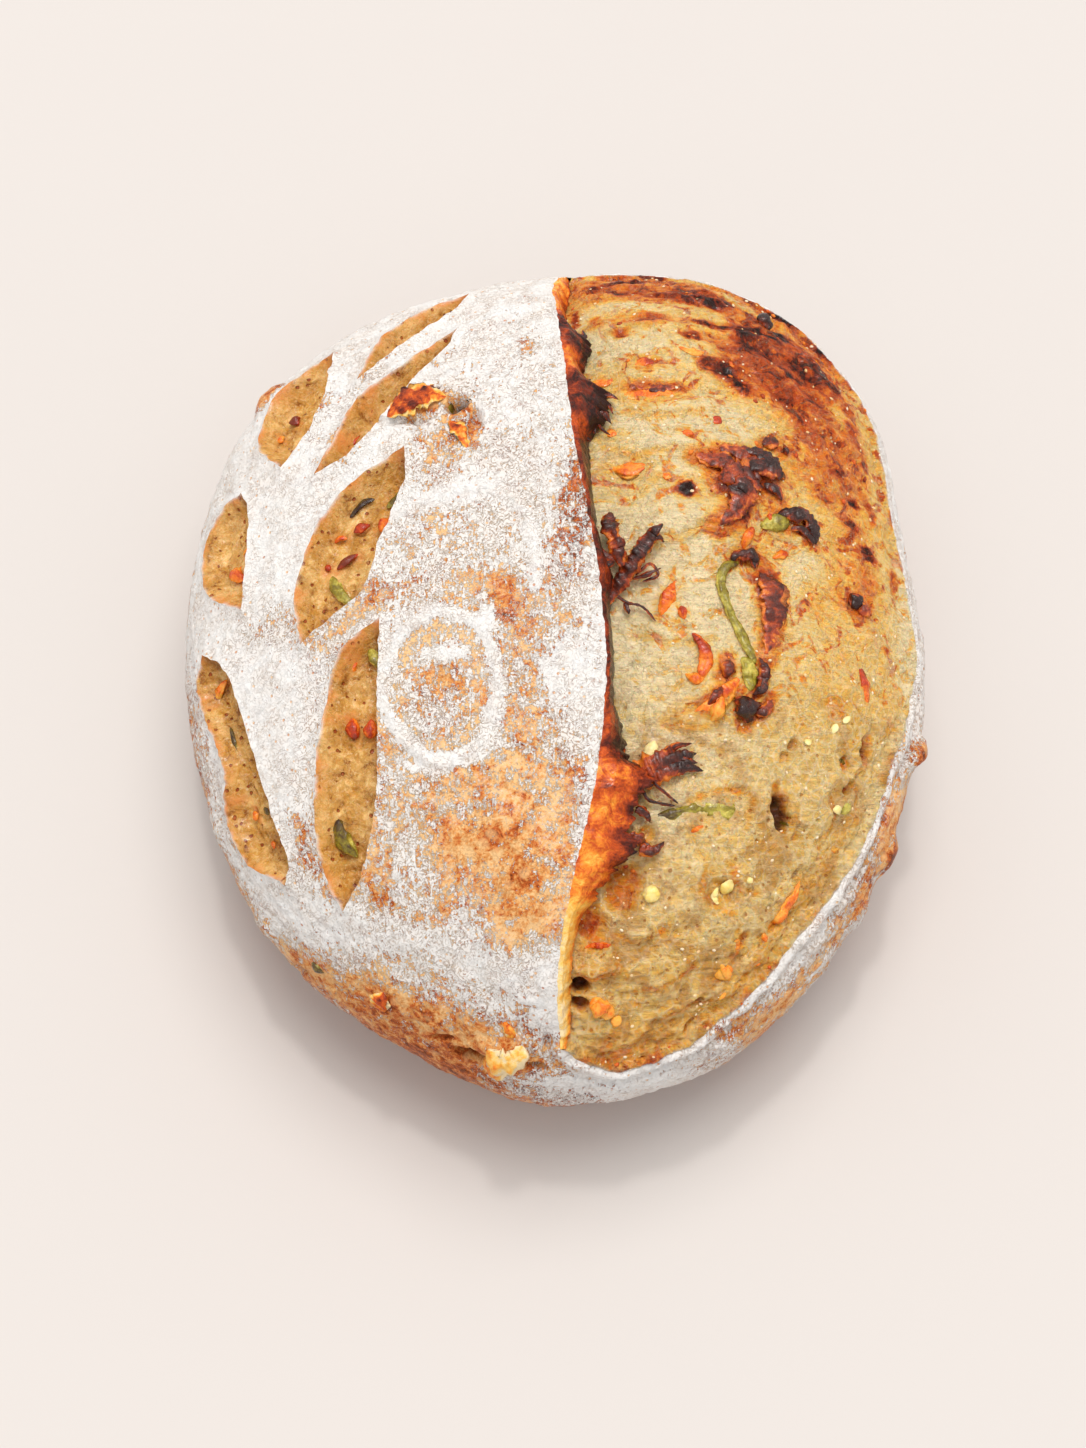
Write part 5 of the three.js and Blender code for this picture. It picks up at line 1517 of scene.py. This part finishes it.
def scatter_tree():
    """Squashed beads scattered over a surface, pressed into it, denser where an attribute is higher."""
    tree = bpy.data.node_groups.new("scattered_beads", "GeometryNodeTree")
    sockets = {"Surface": "Geometry", "Per square metre": "Float", "Least size": "Float",
               "Greatest size": "Float", "Seed": "Int", "Look": "Material"}
    for socket, kind in sockets.items():
        tree.interface.new_socket(socket, in_out="INPUT", socket_type="NodeSocket" + kind)
    tree.interface.new_socket("Beads", in_out="OUTPUT", socket_type="NodeSocketGeometry")
    nodes = Nodes(tree)
    given = nodes.add("NodeGroupInput").outputs
    where = nodes.add("GeometryNodeInputNamedAttribute", {"Name": "scatter"}, data_type="FLOAT").outputs[0]
    density = nodes.times(where, given["Per square metre"])
    spread = nodes.add("GeometryNodeDistributePointsOnFaces",
                       {"Mesh": given["Surface"], "Density": density, "Seed": given["Seed"]})
    bead = nodes.add("GeometryNodeMeshIcoSphere", {"Radius": 1.0, "Subdivisions": 1}).outputs["Mesh"]
    sizes = {2: given["Least size"], 3: given["Greatest size"], 8: given["Seed"]}
    size = nodes.add("FunctionNodeRandomValue", sizes, data_type="FLOAT").outputs[1]
    reaches = {"X": size, "Y": nodes.times(size, 0.75), "Z": nodes.times(size, 0.5)}
    placed = nodes.add("GeometryNodeInstanceOnPoints", {
        "Points": spread.outputs["Points"], "Rotation": spread.outputs["Rotation"], "Instance": bead,
        "Scale": nodes.add("ShaderNodeCombineXYZ", reaches).outputs[0]})
    real = nodes.add("GeometryNodeRealizeInstances", {"Geometry": placed.outputs["Instances"]})
    looks = {"Geometry": real.outputs[0], "Material": given["Look"]}
    nodes.add("NodeGroupOutput", {0: nodes.add("GeometryNodeSetMaterial", looks).outputs[0]})
    return tree


SCATTER = scatter_tree()
BEAD_CORNERS = 12


def scattered(name, surface, shares, material, per_metre, sizes, seed):
    """A plain mesh of beads scattered over a surface, as dense as its shares say."""
    made = surface.data.attributes.new("scatter", "FLOAT", "POINT")
    made.data.foreach_set("value", np.asarray(shares, np.float32))
    modifier = surface.modifiers.new(name, "NODES")
    modifier.node_group = SCATTER
    values = {"Per square metre": float(per_metre), "Least size": sizes[0] * MM,
              "Greatest size": sizes[1] * MM, "Seed": seed, "Look": material}
    for item in SCATTER.interface.items_tree:
        if item.in_out == "INPUT" and item.name in values:
            modifier[item.identifier] = values[item.name]
    evaluated = surface.evaluated_get(bpy.context.evaluated_depsgraph_get())
    mesh = bpy.data.meshes.new_from_object(evaluated)
    surface.modifiers.remove(modifier)
    surface.data.attributes.remove(surface.data.attributes["scatter"])
    mesh.name = name
    mesh.polygons.foreach_set("use_smooth", np.ones(len(mesh.polygons), bool))
    toast = mesh.attributes.get("toast") or mesh.attributes.new("toast", "FLOAT", "POINT")
    count = len(mesh.vertices) // BEAD_CORNERS
    values = np.random.default_rng(seed).uniform(0.1, 0.9, count).repeat(BEAD_CORNERS)
    toast.data.foreach_set("value", values.astype(np.float32))
    piece = bpy.data.objects.new(name, mesh)
    bpy.context.scene.collection.objects.link(piece)
    return piece


def values_of(piece, name):
    values = np.zeros(len(piece.data.vertices), np.float32)
    piece.data.attributes[name].data.foreach_get("value", values)
    return values


def map_of(piece):
    """Each vertex's place on the crust map, from the piece's UV."""
    corners = np.zeros(len(piece.data.loops), np.int32)
    piece.data.loops.foreach_get("vertex_index", corners)
    uv = np.zeros(len(corners) * 2, np.float32)
    piece.data.uv_layers["map"].data.foreach_get("uv", uv)
    places = np.zeros((len(piece.data.vertices), 2))
    places[corners] = uv.reshape(-1, 2) * UV_UNIT
    return places.T


# ---------------------------------------------------------------- Build the loaf

crust = build_crust()
bloom = build_bloom()
leaf_cuts = build_leaf_cuts()
torn_face = build_torn_face()
crisps = build_strips("crisps", CRISP, CRISPS, bloom_lift, sunk=0.4, crumple=0.36)
peppers = build_strips("peppers", PEPPER, PEPPERS, bloom_lift, sunk=0.3)
leaf_peppers = build_strips("leaf_peppers", PEPPER, LEAF_PEPPERS, leaf_floor)
cheeses = build_strips("cheeses", CHEESE, CHEESES, bloom_lift, sunk=0.5)
leaf_cheeses = build_strips("leaf_cheeses", CHEESE, LEAF_CHEESES, leaf_floor, sunk=0.3)
crust_bits = build_strips("crust_bits", TORN, CRUST_BITS, crust_lift, sunk=0.3, crumple=0.3)
crust_peppers = build_strips("crust_peppers", PEPPER, CRUST_PEPPERS, crust_lift)
seeds = build_strips("seeds", SEED, SEEDS, bloom_lift)

bloom_p, bloom_q = map_of(bloom)
beaded = smooth_band(noise(bloom_p, bloom_q, 16, 61), -0.5, 0.6)
flecked = smooth_band(values_of(bloom, "toast"), 0.2, 0.5)
grainy = smooth_band(values_of(crust, "flour"), 0.4, 0.9)
beads = scattered("crumb_beads", bloom, beaded, BEAD, per_metre=38000, sizes=(0.22, 0.7), seed=5)
flecks = scattered("toasted_flecks", bloom, flecked, FLECK, per_metre=14000, sizes=(0.3, 1.0), seed=6)
grains = scattered("flour_grains", crust, grainy, GRAIN, per_metre=30000, sizes=(0.12, 0.4), seed=7)

pieces = [crust, bloom, leaf_cuts, torn_face, crisps, peppers, leaf_peppers, cheeses, leaf_cheeses,
          crust_bits, crust_peppers, seeds, beads, flecks, grains]
for piece in pieces:
    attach(piece, "root")
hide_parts("loaf")


# ---------------------------------------------------------------- Floor, light and camera


FLOOR_HALF = 4.0
SKY_COLOUR = (0.985, 0.99, 0.995, 1.0)
SKY_STRENGTH = 0.76
KEY_FROM = (0.12, 0.42, 1.25)
GLINT_FROM = (0.0, 0.42, 1.25)
VIEWED_POINT = (-0.0032, -0.0115, 0.030)
VIEW_ELEVATION = 70
VIEW_DISTANCE = 0.948
LENS = 85


def floor_material():
    material, nodes, place, _ = new_material("pale_floor")
    shade = nodes.noise(place, 6, 2)
    colour = nodes.mix(shade, linear(212, 205, 200), linear(210, 203, 198))
    finish_material(nodes, colour, 0.9, nodes.bump(nodes.noise(place, 900, 2), 0.00002, 0.2))
    return material


def build_floor():
    signs = np.array([(-1, -1, 0), (1, -1, 0), (1, 1, 0), (-1, 1, 0)])
    return make_piece("floor", signs * FLOOR_HALF / MM, [(0, 1, 2, 3)], floor_material())


def far_light(name, towards, strength, spread, colour):
    """A light so far away that it falls evenly, from the stated direction, with soft-edged shadows."""
    light = bpy.data.lights.new(name, "SUN")
    light.energy = strength
    light.angle = math.radians(spread)
    light.color = colour
    lamp = bpy.data.objects.new(name, light)
    lamp.location = towards
    lamp.rotation_mode = "QUATERNION"
    lamp.rotation_quaternion = Vector(towards).to_track_quat("Z", "Y")
    bpy.context.scene.collection.objects.link(lamp)


def build_world(strength):
    world = bpy.data.worlds.new("studio")
    world.use_nodes = True
    background = world.node_tree.nodes["Background"]
    background.inputs["Color"].default_value = SKY_COLOUR
    background.inputs["Strength"].default_value = strength
    bpy.context.scene.world = world


def build_camera(target, elevation, distance, lens):
    """A camera in front of the loaf, at an elevation in degrees and a distance in metres."""
    camera = bpy.data.cameras.new("camera")
    camera.lens = lens
    camera.sensor_width = 36
    camera.clip_start = 0.01
    view = bpy.data.objects.new("camera", camera)
    angle = math.radians(elevation)
    back = Vector((0, -math.cos(angle), math.sin(angle)))
    view.location = Vector(target) + back * distance
    view.rotation_mode = "QUATERNION"
    view.rotation_quaternion = back.to_track_quat("Z", "Y")
    bpy.context.scene.collection.objects.link(view)
    bpy.context.scene.camera = view


floor = build_floor()
build_world(SKY_STRENGTH)
far_light("key", KEY_FROM, strength=1.66, spread=40, colour=(1.0, 0.98, 0.95))
far_light("glint", GLINT_FROM, strength=0.5, spread=5, colour=(1.0, 0.985, 0.965))
build_camera(VIEWED_POINT, VIEW_ELEVATION, VIEW_DISTANCE, LENS)
bpy.context.scene.view_settings.view_transform = "Standard"
